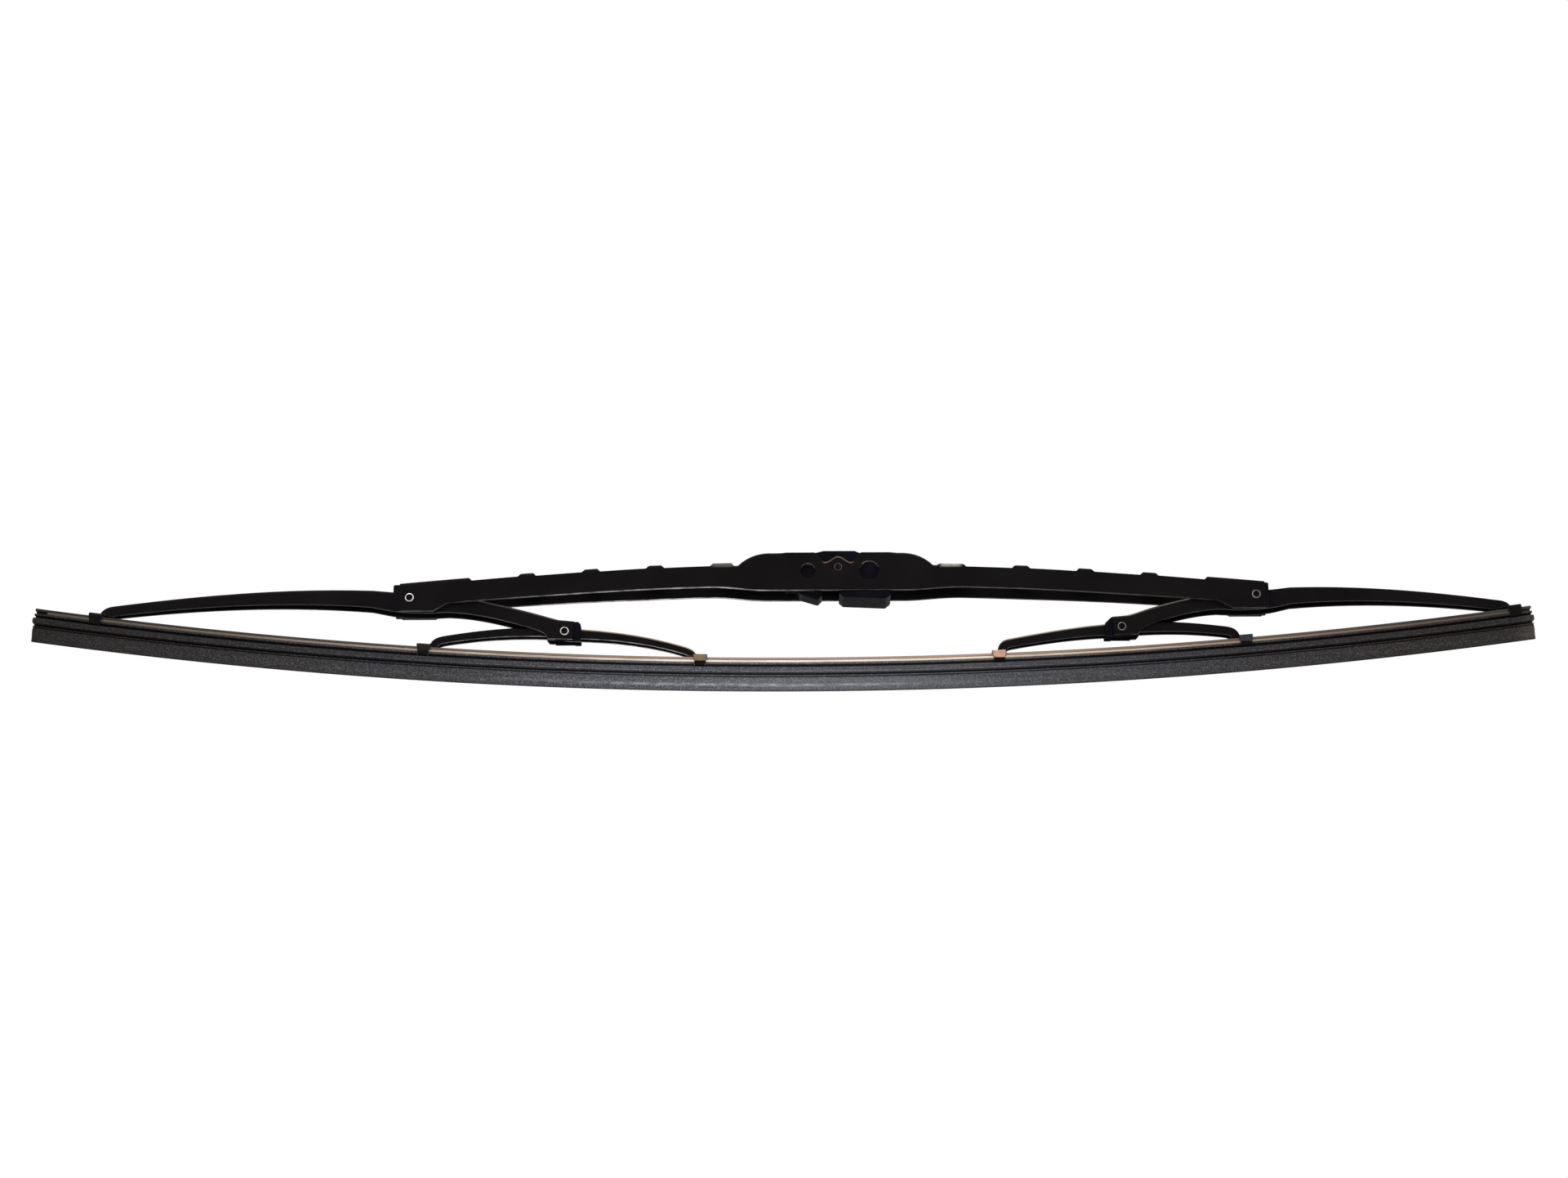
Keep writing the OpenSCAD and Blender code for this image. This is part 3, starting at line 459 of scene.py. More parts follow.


# Extruded rubber: long die lines, pale sparkling grain and a pale streaked band along the lip in the
# middle of the blade. Along the blade it is lighter and bluer in the middle and darker and browner to its
# ends, and the grain is thickest in the middle: partly bloom and dust, partly a painted highlight of the
# light in front of the middle. Grooves are painted black as painted shade, and the head is light brown in
# the middle like the rails, partly dust and partly painted highlight.
def elementRubber():
    look = rubberLook
    material, place = newMaterial("elementRubber", (0.05, 0.048, 0.05), 0.55, 0.1, kept=True)
    lines = noiseOf(place, 1.0, 4, look["line"])
    depth = depthOf(place)
    # Along the blade the tone is lighter and bluer in the middle and darker to the ends: partly dust,
    # partly painted highlight.
    tone = mixOf(rampOf(lines, (0.34, 0.45), (0.66, 0.0)), rampAlong(place, look["tone"]), look["darkTone"])
    grain = rampOf(noiseOf(place, look["grain"]), (0.48, 0.0), (0.68, 0.9))
    tone = mixOf(product(grain, rampAlong(place, look["bloomAndHighlight"])), tone, look["pale"])
    band = product(shareOf(depth, 0.77, 0.81), shareOf(depth, 0.88, 0.84))
    band = product(band, boxMask(place, [(-75, 10, 40)]))
    streak = rampOf(noiseOf(place, 1.0, 4, look["streak"]), (0.4, 0.1), (0.6, 0.75))
    tone = mixOf(product(streak, band), tone, look["band"])
    # Painted shade: by depth, the grooves and the hinge go near-black.
    tone = mixOf(rampOf(depth, *look["depth"]), look["groove"], tone)
    # The head, light brown in the middle like the rails: partly dust, partly painted highlight.
    tone = mixOf(shareOf(depth, 0.17, 0.12), tone, rampAlong(place, look["head"]))
    rough = rampOf(lines, (0.3, 0.42), (0.7, 0.66))
    return finishOf(material, tone, rough, (lines, 0.3, 0.03))


plasticLook = {"base": (0.0055, 0.005, 0.0078), "pale": (0.0095, 0.0088, 0.0135), "grain": 1900}


# Moulded black plastic with a fine spark texture.
def clipPlastic():
    look = plasticLook
    material, place = newMaterial("clipPlastic", look["base"], 0.36, 0.006)
    tone = rampOf(noiseOf(place, 120), (0.35, look["base"]), (0.7, look["pale"]))
    rough = rampOf(noiseOf(place, 500, 2), (0.3, 0.3), (0.7, 0.46))
    return finishOf(material, tone, rough, (noiseOf(place, look["grain"], 2), 0.3, 0.02))


paint, zinc, recessShade, spring = paintedSteel(), rivetSteel(), hollowShade(), springSteel()
rubber, plastic = elementRubber(), clipPlastic()
bridgeSheet = [paint, cutEdge("cutEdgeBridge", cutLook["bridge"])]
leverSheet = [paint, cutEdge("cutEdgeLevers", cutLook["levers"])]
yokeSheet = [paint, cutEdge("cutEdgeYokes", cutLook["yokes"])]
finishes = {"rivet": zinc, "rail": spring, "rubber": rubber, "adapter": plastic, "bush": plastic}
for node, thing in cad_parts.items():  # every CAD node that stays visible gets its finish too
    thing.data.materials.clear()
    thing.data.materials.append(finishes.get(node.split("_")[0], paint))
print("wiper blade: materials made")


# Height of the strip's back: a circle of the strip's radius, centred above its lowest point.
def backAt(x):
    return strip["centre"] - np.sqrt(strip["radius"] ** 2 - (x + strip["shift"]) ** 2)


# Angle along the strip's circle at a place X.
def turnAt(x):
    return np.arcsin((x + strip["shift"]) / strip["radius"])


# A point at an angle along the circle, y across it and up above the back.
def onStrip(turn, y, up):
    r = strip["radius"] - up
    return np.stack(np.broadcast_arrays(-strip["shift"] + r * np.sin(turn), y,
                                        strip["centre"] - r * np.cos(turn)), axis=-1)


# Levers and yokes: channels between a crown line and an edge line, in X and Z

sides = {"left": -1, "right": 1}
nest = {"yokeWidth": 4.6, "yokeSheet": 0.7, "leverWidth": 7.4, "leverSheet": 0.8, "endWidth": 10.8,
        "armTip": 4.2}
leverSizes = {
    "left": {"pivot": 141.5, "tip": 245.1, "rise": 2.4, "hub": 2.6, "root": 6.1, "tipHeight": 3.6,
             "end": {"shoulder": (5.6, 2.7), "slope": 0.12, "foot": (2.6, 0.1), "fall": 1.3}},
    "right": {"pivot": 137.9, "tip": 223.2, "rise": 1.8, "hub": 2.3, "root": 5.9, "tipHeight": 3.5,
              "end": {"shoulder": (4.8, 2.0), "slope": 0.13, "foot": (2.4, 0.0), "fall": 1.1}},
    "drop": 9.6, "bend": 1.0, "nose": 3.6, "hubReach": 7.7}
yokeSizes = {
    "left": {"pivot": 90.3, "lift": 7.4, "outer": 136.6, "inner": 45.6, "root": 3.6, "tipHeight": 2.6,
             "outerEnd": {"shoulder": (7.3, 3.3), "slope": 0.16, "foot": (3.0, 0.5), "fall": 1.6},
             "innerEnd": {"shoulder": (6.5, 2.9), "slope": 0.3, "foot": (2.4, 0.3), "fall": 1.4}},
    "right": {"pivot": 93.4, "lift": 6.6, "outer": 134.1, "inner": 52.8, "root": 4.1, "tipHeight": 3.0,
              "outerEnd": {"shoulder": (7.0, 3.4), "slope": 0.12, "foot": (3.0, 0.5), "fall": 1.8},
              "innerEnd": {"shoulder": (3.7, 3.6), "slope": 0.19, "foot": (1.0, 0.7), "fall": 2.0}},
    "ear": 1.95, "bore": 1.15, "bend": 0.85}
clawSizes = {
    "inside": 3.3, "outside": 4.1, "over": 0.15, "top": 0.95, "tipTop": 2.6, "bottom": 3.3, "gap": 1.5,
    "length": 4.6, "tipLength": 3.6, "topBend": 1.1, "tipBend": 0.8, "innerTopBend": 0.3,
    "innerTipBend": 0.15, "clear": 0.55, "tail": 1.5}


# The place of a lever's or yoke's rivet, on the blade's middle plane.
def rivetSpot(kind, side):
    if kind == "lever":
        return sides[side] * leverSizes[side]["pivot"], 0, -leverSizes["drop"]
    x = sides[side] * yokeSizes[side]["pivot"]
    return x, 0, backAt(x) + yokeSizes[side]["lift"]


# Points of a cubic curve from its four control points.
def cubicRun(a, b, c, d, count=19):
    t = np.linspace(0, 1, count)[:, None]
    a, b, c, d = (np.array(p, float) for p in (a, b, c, d))
    return (1 - t) ** 3 * a + 3 * t * (1 - t) ** 2 * b + 3 * t * t * (1 - t) * c + t ** 3 * d


# Points at a distance square to a line.
def setOff(line, distance):
    along = np.gradient(line, axis=0)
    across = np.stack([-along[:, 1], along[:, 0]], axis=-1) / np.linalg.norm(along, axis=1)[:, None]
    return line + across * np.reshape(distance, (-1, 1))


# The same line with count points, evenly spaced along it.
def evenly(line, count):
    line = np.asarray(line, float)
    length = np.concatenate([[0], np.cumsum(np.linalg.norm(np.diff(line, axis=0), axis=1))])
    at = np.linspace(0, length[-1], count)
    return np.stack([np.interp(at, length, line[:, k]) for k in (0, 1)], axis=-1)


# Stretches of a line, each resampled to its own count, end to end.
def stitched(stretches, counts):
    parts = [evenly(s, n) for s, n in zip(stretches, counts)]
    return np.concatenate([parts[0]] + [p[1:] for p in parts[1:]])


# An arm's upper and lower lines, each as a long stretch and a short one. Its middle line runs from its
# root to a shoulder near its claw, then steeply down to a foot on the claw's plate. Shoulder and foot
# are given as millimetres in from the claw and up from the strip's back.
def armLines(root, pull, claw, end, sizes, side):
    into = np.sign(root[0] - claw)
    spots = []
    for inwards, up in (end["shoulder"], end["foot"]):
        x = claw + into * inwards
        spots.append((x, backAt(sides[side] * x) + up))
    (sx, sz), (fx, fz) = spots
    reach, step = 0.31 * abs(sx - root[0]), 0.6 * abs(sx - fx)
    main = cubicRun(root, pull, (sx + into * reach, sz + reach * end["slope"]), (sx, sz), 20)
    elbow = cubicRun((sx, sz), (sx - into * step, sz - step * end["slope"]),
                     (fx + into * 0.3, fz + end["fall"]), (fx, fz), 10)
    middle = np.concatenate([main, elbow[1:]])
    taper = np.concatenate([(1 - np.linspace(0, 1, 20)) ** 1.6, np.zeros(9)])
    half = -into * (sizes["tipHeight"] + (sizes["root"] - sizes["tipHeight"]) * taper) / 2
    upper, lower = setOff(middle, half), setOff(middle, -half)
    return (upper[:20], upper[19:]), (lower[:20], lower[19:]), fx


# Half of a bent sheet's section, outside and inside, from the wall's foot over the bend to the middle
# of the web. Outside: wall at y = w, a quarter circle of radius bend, web at h = 0.
def bentProfile(w, height, bend, sheet, wallRows=7, bendRows=7, webRows=5):
    w, height, bend = (np.broadcast_to(np.reshape(v, (-1, 1)), (len(w), 1)) for v in (w, height, bend))
    bend = np.minimum(bend, 0.62 * height)
    web = np.minimum(sheet, 0.45 * height)
    small = np.minimum(np.maximum(bend - sheet, 0.12), 0.9 * (height - web))
    t, u = np.linspace(0, 1, wallRows), np.linspace(0, 1, webRows)[1:]
    q = np.linspace(0, np.pi / 2, bendRows)[1:]
    halves = []
    for wall, radius, level in ((w, bend, 0 * w), (w - sheet, small, web)):
        flat = wall - radius
        y = np.concatenate([wall + 0 * t, flat + radius * np.cos(q), flat * (1 - u)], axis=1)
        h = np.concatenate([height + (level + radius - height) * t, level + radius - radius * np.sin(q),
                            level + 0 * u], axis=1)
        halves.append((y, h))
    return halves


# The half section and its mirror image, as one run across the channel.
def bothWalls(y, h):
    return np.concatenate([y, -y[:, -2::-1]], axis=1), np.concatenate([h, h[:, -2::-1]], axis=1)


# A channel: each station's section hangs from its crown point towards its edge point.
def channelMesh(name, crown, edge, plan, bend, sheet, side, finish):
    down = edge - crown
    height = np.linalg.norm(down, axis=1)
    w = np.interp(crown[:, 0], *np.transpose(plan))
    grids = []
    for half in bentProfile(w, height, bend, sheet):
        y, h = bothWalls(*half)
        spot = crown[:, None, :] + (down / height[:, None])[:, None, :] * h[..., None]
        grids.append(np.stack([sides[side] * spot[..., 0], y, spot[..., 1]], axis=-1))
    return sheetMetal(name, *grids, finish)


# Half of a claw's section, from its tip over a bend at its foot and one at its head.
def clawHalf(wide, foot, head, bottom, top):
    t, q = np.linspace(0, 1, 4), np.linspace(0, np.pi / 2, 6)
    gap = clawSizes["gap"]
    y = np.concatenate([gap + (wide - foot - gap) * t[:-1], wide - foot + foot * np.sin(q),
                        np.full(3, wide), wide - head + head * np.cos(q), (wide - head) * (1 - t[1:])])
    up = np.concatenate([np.full(3, -bottom), foot - bottom - foot * np.cos(q),
                         np.linspace(foot - bottom, top - head, 5)[1:-1], top - head + head * np.sin(q),
                         np.full(3, top)])
    return y, up


# A claw: a plate over the rubber's head, two walls and two tips in its groove, bent from one sheet.
# Its section is carried along the strip's circle, and narrows from its top to its tips.
def clawMesh(name, x, side, finish):
    c = clawSizes
    halves = (clawHalf(c["outside"], c["tipBend"], c["topBend"], c["bottom"], c["top"]),
              clawHalf(c["inside"], c["innerTipBend"], c["innerTopBend"], c["tipTop"], c["over"]))
    reach = np.interp(halves[0][1], [-1.85, 0], [c["tipLength"] / 2, c["length"] / 2])
    reach = np.concatenate([reach, reach[-2::-1]])
    turn = turnAt(sides[side] * x) + np.linspace(-1, 1, 7)[:, None] * reach / strip["radius"]
    grids = [onStrip(turn, np.concatenate([y, -y[-2::-1]]), np.concatenate([up, up[-2::-1]]))
             for y, up in halves]
    return sheetMetal(name, *grids, finish)


# The end of an arm: it runs down on to its claw's plate, and its edges stay above the rubber.
def overClaw(crown, edge, tip, side):
    c = clawSizes
    edge = edge.copy()
    near = np.abs(edge[:, 0] - tip) < 9
    low = backAt(sides[side] * edge[:, 0]) + c["clear"]
    edge[:, 1] = np.where(near, np.maximum(edge[:, 1], low), edge[:, 1])
    t = np.linspace(0, 1, 7)[1:]
    x = crown[-1, 0] + np.sign(crown[-1, 0] - crown[-2, 0]) * c["tail"] * t
    back = backAt(sides[side] * x)
    plate = back + c["top"] + 0.05
    tail = np.stack([x, plate + (crown[-1, 1] - plate) * (1 - np.sin(t * np.pi / 2) ** 1.5)], axis=-1)
    return np.concatenate([crown, tail]), np.concatenate([edge, np.stack([x, back + c["clear"]], axis=-1)])


# A lever's crown and edge lines, from its nose at the yoke to its claw.
def leverLines(side):
    s = leverSizes[side]
    r, y = s["pivot"], yokeSizes[side]["pivot"]
    zr, zy = rivetSpot("lever", side)[2], rivetSpot("yoke", side)[2]
    arm = r - y
    start = r + leverSizes["hubReach"]
    pull = (start + 0.33 * (s["tip"] - start), zr + s["rise"])
    upper, lower, foot = armLines((start, zr), pull, s["tip"], s["end"], s, side)
    nose, hub = zy + leverSizes["nose"], zr + s["hub"]
    crownArm = cubicRun((y + 4.5, nose + 1.2), (y + 0.3 * arm, zy + 8.2), (y + 0.62 * arm, zr + 0.7),
                        (r - 6, hub - 0.2))
    edgeArm = cubicRun((y + 8.5, zy + 0.3), (y + 0.35 * arm, zy + 3.4), (y + 0.55 * arm, zr - 4.9),
                       (r - 12.5, zr - 4.5))
    counts = (12, 30, 16, 32, 12)
    crown = stitched([[(y - 3.2, nose), (y + 2, nose + 0.5), crownArm[0]], crownArm,
                      [crownArm[-1], (r, hub), (r + 5.2, hub), upper[0][1]], upper[0][1:], upper[1]],
                     counts)
    edge = stitched([[(y - 2.7, zy - 2.8), (y + 5.4, zy - 2.5), (y + 6.6, zy - 0.6), edgeArm[0]], edgeArm,
                     [edgeArm[-1], (r - 6, zr - 4.8), (r + 1, zr - 4.6), (r + 6, zr - 4), lower[0][1]],
                     lower[0][1:], lower[1]], counts)
    return overClaw(crown, edge, foot, side)


def makeLever(side):
    s, name = leverSizes[side], f"lever.{side}"
    wide, tip = nest["leverWidth"] / 2, nest["armTip"] / 2
    plan = [(yokeSizes[side]["pivot"] - 6, wide), (s["pivot"] + 6, wide), (s["tip"] - 5, tip),
            (s["tip"] - 2.4, tip + 0.2), (s["tip"] - 0.5, clawSizes["outside"] - clawSizes["topBend"])]
    arm = channelMesh("arm", *leverLines(side), plan, leverSizes["bend"], nest["leverSheet"], side,
                      leverSheet)
    claw = clawMesh("claw", s["tip"], side, leverSheet)
    thing = piece(name, joined(name, [arm, claw]), "painted_steel", f"lever_{side}", edge=0.1)
    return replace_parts(thing, f"lever_{side}")


# A yoke's crown and edge lines, from its inner claw over the pivot to its outer claw.
def yokeLines(side):
    s = yokeSizes[side]
    z = rivetSpot("yoke", side)[2]
    arms = []
    for claw, end, rootUp, pullUp in (("inner", "innerEnd", -0.3, -0.6), ("outer", "outerEnd", 0.1, 0.9)):
        pull = (s["pivot"] + 0.31 * (s[claw] - s["pivot"]), z + pullUp)
        upper, lower, foot = armLines((s["pivot"], z + rootUp), pull, s[claw], s[end], s, side)
        arms.append(overClaw(stitched(upper, (28, 12)), stitched(lower, (28, 12)), foot, side))
    return [np.concatenate([inner[:0:-1], outer[1:]]) for inner, outer in zip(*arms)]


def makeYoke(side):
    s, name = yokeSizes[side], f"yoke.{side}"
    face, tip, wide = nest["yokeWidth"] / 2, nest["armTip"] / 2, clawSizes["outside"] - clawSizes["topBend"]
    plan = [(s["inner"] - 2, wide), (s["inner"], tip + 0.1), (s["inner"] + 4, tip), (s["pivot"] - 6, face),
            (s["pivot"] + 6, face), (s["outer"] - 4, tip), (s["outer"], tip + 0.1), (s["outer"] + 2, wide)]
    parts = [channelMesh("arms", *yokeLines(side), plan, yokeSizes["bend"], nest["yokeSheet"], side,
                         yokeSheet),
             clawMesh("inner", s["inner"], side, yokeSheet), clawMesh("outer", s["outer"], side, yokeSheet)]
    bore, ear, inside = yokeSizes["bore"], yokeSizes["ear"], face - nest["yokeSheet"]
    for way in (-1, 1):  # the round ears about the rivet
        outline = [(bore, inside), (ear, inside), (ear, face), (bore, face), (bore, inside)]
        parts.append(turned("ear", [(r, way * y) for r, y in outline], rivetSpot("yoke", side), yokeSheet))
    thing = piece(name, joined(name, parts), "painted_steel", f"yoke_{side}", edge=0.09)
    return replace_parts(thing, f"yoke_{side}")


for side in sides:
    makeLever(side)
    makeYoke(side)
print("wiper blade: levers and yokes made")


# Bridge: hump, shoulders, windowed arms and end plates

bridgeSizes = {
    "sheet": 1.0, "humpWidth": 13.2, "humpTop": 5.2, "humpFlat": {"left": 22.8, "right": 21.1},
    "shoulder": 14.5, "humpDrop": 7.9, "opening": 19.0, "crownTop": {"left": 2.3, "right": 1.85},
    "crownRadius": {"left": 1555.0, "right": 1494.0}, "wall": {"left": 8.4, "right": 8.2},
    "footLevel": 0.9, "footLength": 1.2, "notch": 1.2, "barFirst": 60.5, "barPitch": 21.2,
    "barFlat": 3.9, "barSlope": 1.05, "overhang": {"left": 3.4, "right": 3.0}, "plateDrop": 4.6,
    "plateReach": 7.7, "plateSlope": 5.0, "bend": 1.2, "openBend": 0.35, "cutBend": 0.25,
    "bendStops": (8, 9.6, 17, 19), "holes": ((-10.0, -1.1, 4.76), (10.3, -1.1, 6.35)),
    "wDip": 1.8, "wBump": 3.8, "wHalf": 4.3, "wRise": 3.7}


def crownAt(s, side):
    top, radius = bridgeSizes["crownTop"][side], bridgeSizes["crownRadius"][side]
    return top - radius + np.sqrt(radius ** 2 - s * s)


def softStep(t):
    c = np.clip(t, 0, 1)
    return c * c * (3 - 2 * c)


def waveStep(low, high, t):
    return low + (high - low) * (1 - np.cos(np.pi * np.clip(t, 0, 1))) / 2


# Where the hump's shoulder ends: its arc comes down to the valley at the hump's foot.
def shoulderEnd(side):
    b = bridgeSizes
    rise = b["footLevel"] - b["humpTop"] + b["shoulder"]
    return b["humpFlat"][side] + math.sqrt(b["shoulder"] ** 2 - rise ** 2)


# Height of the bridge's crown line, with the hump, its shoulders, the valleys and the W-shaped cut.
def bridgeTop(s, side):
    b = bridgeSizes
    shoulder, half = shoulderEnd(side), b["wHalf"]
    arc = np.sqrt(np.maximum(b["shoulder"] ** 2 - (s - b["humpFlat"][side]) ** 2, 0))
    arc += b["humpTop"] - b["shoulder"]
    foot = shoulder + b["footLength"]
    rise = softStep((s - foot) / b["footLength"])
    return np.select([s < half, s < half + b["wRise"], s < b["humpFlat"][side], s < shoulder],
                     [waveStep(b["wBump"], b["wDip"], s / half),
                      waveStep(b["wDip"], b["humpTop"], (s - half) / b["wRise"]), b["humpTop"], arc],
                     b["footLevel"] + (crownAt(s, side) - b["footLevel"]) * rise)


# Height of the walls' lower edge: level under the hump, then one wall's height under the crown,
# then a step down to the end plate.
def bridgeLow(s, side):
    b = bridgeSizes
    k = softStep((s - b["humpFlat"][side] - 1) / 20)
    low = (1 - k) * -b["humpDrop"] + k * (crownAt(s, side) - b["wall"][side])
    step = leverSizes[side]["pivot"] - b["plateReach"] - b["plateSlope"]
    before = crownAt(step, side) - b["wall"][side]
    plate = -leverSizes["drop"] - b["plateDrop"]
    return np.where(s > step, before + (plate - before) * np.clip((s - step) / b["plateSlope"], 0, 1), low)


def bridgeHalfWidth(s, side):
    hump, plate, end = bridgeSizes["humpWidth"] / 2, nest["endWidth"] / 2, leverSizes[side]["pivot"]
    return np.interp(s, (0, 62, 92, end - 15.7, end + 9), (hump, hump, plate + 0.3, plate, plate))


# Stations from the middle to one end: for each, its place at the notches' level, its place at the
# crown, and whether the strip from it to the next one is a window.
def bridgeColumns(side):
    b = bridgeSizes
    base = (b["barPitch"] - b["barFlat"]) / 2 - b["barSlope"]
    full = base + b["barSlope"]
    shoulder, foot = shoulderEnd(side), b["footLength"]
    low = [*np.arange(0, 8, 0.4), *np.arange(8, 18.9, 0.9), 18.95, 19.0, *np.linspace(20, shoulder, 18),
           *(shoulder + foot * np.linspace(0.2, 2, 12)), *np.linspace(shoulder + 2 * foot + 0.5, 40.6, 5)]
    high, window = list(low), [False] * len(low)
    for k in range(4):
        mid = b["barFirst"] + (k - 0.5) * b["barPitch"]
        t = np.linspace(-1, 1, 9)
        low += list(mid + base * t)
        high += list(mid + full * t)
        window += [True] * 8 + [False]
        if k < 3:
            u = np.linspace(0, 1, 5)[1:-1]
            low += list(mid + base + u * (b["barPitch"] - 2 * base))
            high += list(mid + full + u * (b["barPitch"] - 2 * full))
            window += [False] * 3
    end = leverSizes[side]["pivot"] + b["overhang"][side]
    step = leverSizes[side]["pivot"] - b["plateReach"]
    rest = np.unique([*np.arange(low[-1] + 1.6, end - 0.5, 1.2), step - b["plateSlope"], step, end])
    rest = list(rest[rest > low[-1] + 1.4])
    return np.array(low + rest), np.array(high + rest), np.array(window + [False] * len(rest))


# Drills round holes of (x, z, diameter) through both walls.
def drilled(mesh, holes, materials):
    blank = placed("blank", mesh)
    drills = []
    for x, z, size in holes:
        bm = bmesh.new()
        place = Matrix.Translation((x * mm, 0, z * mm)) @ Matrix.Rotation(math.pi / 2, 4, "X")
        bmesh.ops.create_cone(bm, cap_ends=True, segments=64, radius1=size / 2 * mm, radius2=size / 2 * mm,
                              depth=30 * mm, matrix=place)
        data = bpy.data.meshes.new("drill")
        bm.to_mesh(data)
        bm.free()
        data.materials.append(materials[1])
        drills.append(placed("drill", data))
        punch = blank.modifiers.new("punch", "BOOLEAN")
        punch.object, punch.solver, punch.operation = drills[-1], "EXACT", "DIFFERENCE"
    bpy.context.view_layer.update()
    done = bpy.data.meshes.new_from_object(blank.evaluated_get(bpy.context.evaluated_depsgraph_get()))
    for thing in drills + [blank]:
        bpy.data.objects.remove(thing)
    done.shade_smooth()
    return done


# The bridge's sheet: at each station a bent section hangs from the crown line. Over the hook's opening
# the web is left out and the walls are cut off level; in the windows the web and both bends are left out.
def makeBridge():
    b = bridgeSizes
    wallRows, bendRows, webRows = 9, 8, 5
    lastBend = wallRows + bendRows - 1
    grids, keeps = ([], []), []
    for side, way in sides.items():
        low, high, window = bridgeColumns(side)
        top = bridgeTop(high, side)
        height = top - bridgeLow(low, side)
        w = bridgeHalfWidth(low, side)
        bend = np.interp(high, b["bendStops"], (b["cutBend"], b["openBend"], b["openBend"], b["bend"]))
        halves = bentProfile(w, height, bend, b["sheet"], wallRows, bendRows, webRows)
        inY, inH = halves[1]
        bend, height, opened = bend[:, None], height[:, None], (high < b["opening"])[:, None]
        over, wall = slice(wallRows, lastBend), slice(0, wallRows)
        inY[:, over] = np.where(opened, w[:, None] - b["sheet"], inY[:, over])
        inH[:, over] = np.where(opened, bend * (1 - np.linspace(0, 1, bendRows)[1:]), inH[:, over])
        straight = height + (bend - height) * np.linspace(0, 1, wallRows)
        inH[:, wall] = np.where(opened, straight, inH[:, wall])
        for half, store in zip(halves, grids):
            y, h = bothWalls(*half)
            shift = 1 - np.clip(h / b["notch"], 0, 1)
            s = low[:, None] + (high - low)[:, None] * shift
            store.append(np.stack([way * s, y, top[:, None] - h], axis=-1))
        cell = np.arange(y.shape[1] - 1)
        web = (cell >= lastBend - 1) & (cell <= len(cell) - lastBend)
        overWall = (cell >= wallRows - 1) & (cell <= len(cell) - wallRows)
        keep = np.ones((len(low) - 1, len(cell)), bool)
        keep[(high[:-1] < b["opening"] - 0.01)[:, None] & web] = False
        keep[window[:-1][:, None] & overWall] = False
        keeps.append(keep)
    outer, inner = (np.concatenate([left[:0:-1], right]) for left, right in grids)
    mesh = sheetMetal("bridge", outer, inner, bridgeSheet, np.concatenate([keeps[0][::-1], keeps[1]]))
    mesh = drilled(mesh, b["holes"], bridgeSheet)
    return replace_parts(piece("bridge.sheet", mesh, "painted_steel", "bridge", edge=0.13), "bridge")


makeBridge()
print("wiper blade: bridge made")


# Rivets and pin

rivetSizes = {
    "lever": {"shaft": 2.4, "over": 10.8, "body": "bridge"},
    "yoke": {"shaft": 2.2, "over": 7.4, "body": "lever_{}"},
    "head": 3.15, "thick": 0.5, "hollow": 1.5, "mouth": 2.2, "depth": 1.4}


# Half a rivet, from the bottom of its hollow over the rolled rim to the shaft's middle. Its tip and
# rim shine, the hollow is painted near-black as painted shade, and the rim's outer slope is painted over.
def rivetProfile(shaft, over):
    s = rivetSizes
    face, head, hollow, mouth = over / 2, s["head"] / 2, s["hollow"] / 2, s["mouth"] / 2
    top = face + s["thick"]
    floor = top - s["depth"]
    return [(0, floor + 0.82, 0), (0.26, floor + 0.76, 0), (0.42, floor + 0.55, 1),
            (hollow * 0.8, floor, 1), (hollow * 0.97, floor + 0.1, 1), (hollow, top - 0.45, 1),
            (mouth - 0.1, top - 0.14, 1), (mouth + 0.02, top - 0.03, 0), (mouth + 0.12, top, 0),
            (mouth + 0.28, top - 0.05, 0), (head - 0.1, top - 0.2, 2), (head, face + 0.14, 2),
            (head - 0.03, face, 2), (shaft / 2, face, 2), (shaft / 2, 0, 0)]


def makeRivet(kind, side):
    s = rivetSizes[kind]
    profile = mirrored(rivetProfile(s["shaft"], s["over"]))
    mesh = turned(f"rivet.{kind}.{side}", profile, rivetSpot(kind, side), [zinc, recessShade, paint])
    thing = piece(mesh.name, mesh, "bright_steel", s["body"].format(side), edge=0)
    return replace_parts(thing, f"rivet_{kind}_{side}")


pinSizes = {"proud": 0.25, "shaft": 2.9, "outline": (  # radius, depth below the head's top, material
    (0, 0.3, 0), (0.3, 0.34, 0), (0.42, 0.5, 1), (0.98, 0.6, 1), (1.08, 0.5, 1), (1.12, 0.08, 0),
    (1.22, 0, 1), (1.48, 0.01, 1), (1.62, 0.08, 1), (1.65, 0.25, 1), (1.45, 0.25, 1))}


# The centre pin: a turned shaft with a flat recessed head on each side, painted with the bridge.
def makePin():
    end = bridgeSizes["humpWidth"] / 2 + pinSizes["proud"]
    half = [(r, end - down, m) for r, down, m in pinSizes["outline"]] + [(pinSizes["shaft"] / 2, 0, 1)]
    mesh = turned("pin.centre", mirrored(half), (0, 0, 0), [zinc, paint])
    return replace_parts(piece("pin.centre", mesh, "painted_steel", "bridge", edge=0), "centre_pin")


for side in sides:
    makeRivet("lever", side)
    makeRivet("yoke", side)
makePin()
print("wiper blade: rivets and pin made")


# Rubber element and its two rails, in three stretches

section = {
    "head": (6.0, 0.85), "web": 1.8, "rail": (2.25, 1.0), "ledge": (6.2, 0.6), "neck": 2.4, "groove": 1.0,
    "wing": (8.4, 1.75), "hinge": (1.0, 0.5), "rib": (4.4, 0.4), "ribGroove": 0.5, "body": 4.0, "lip": 0.7}


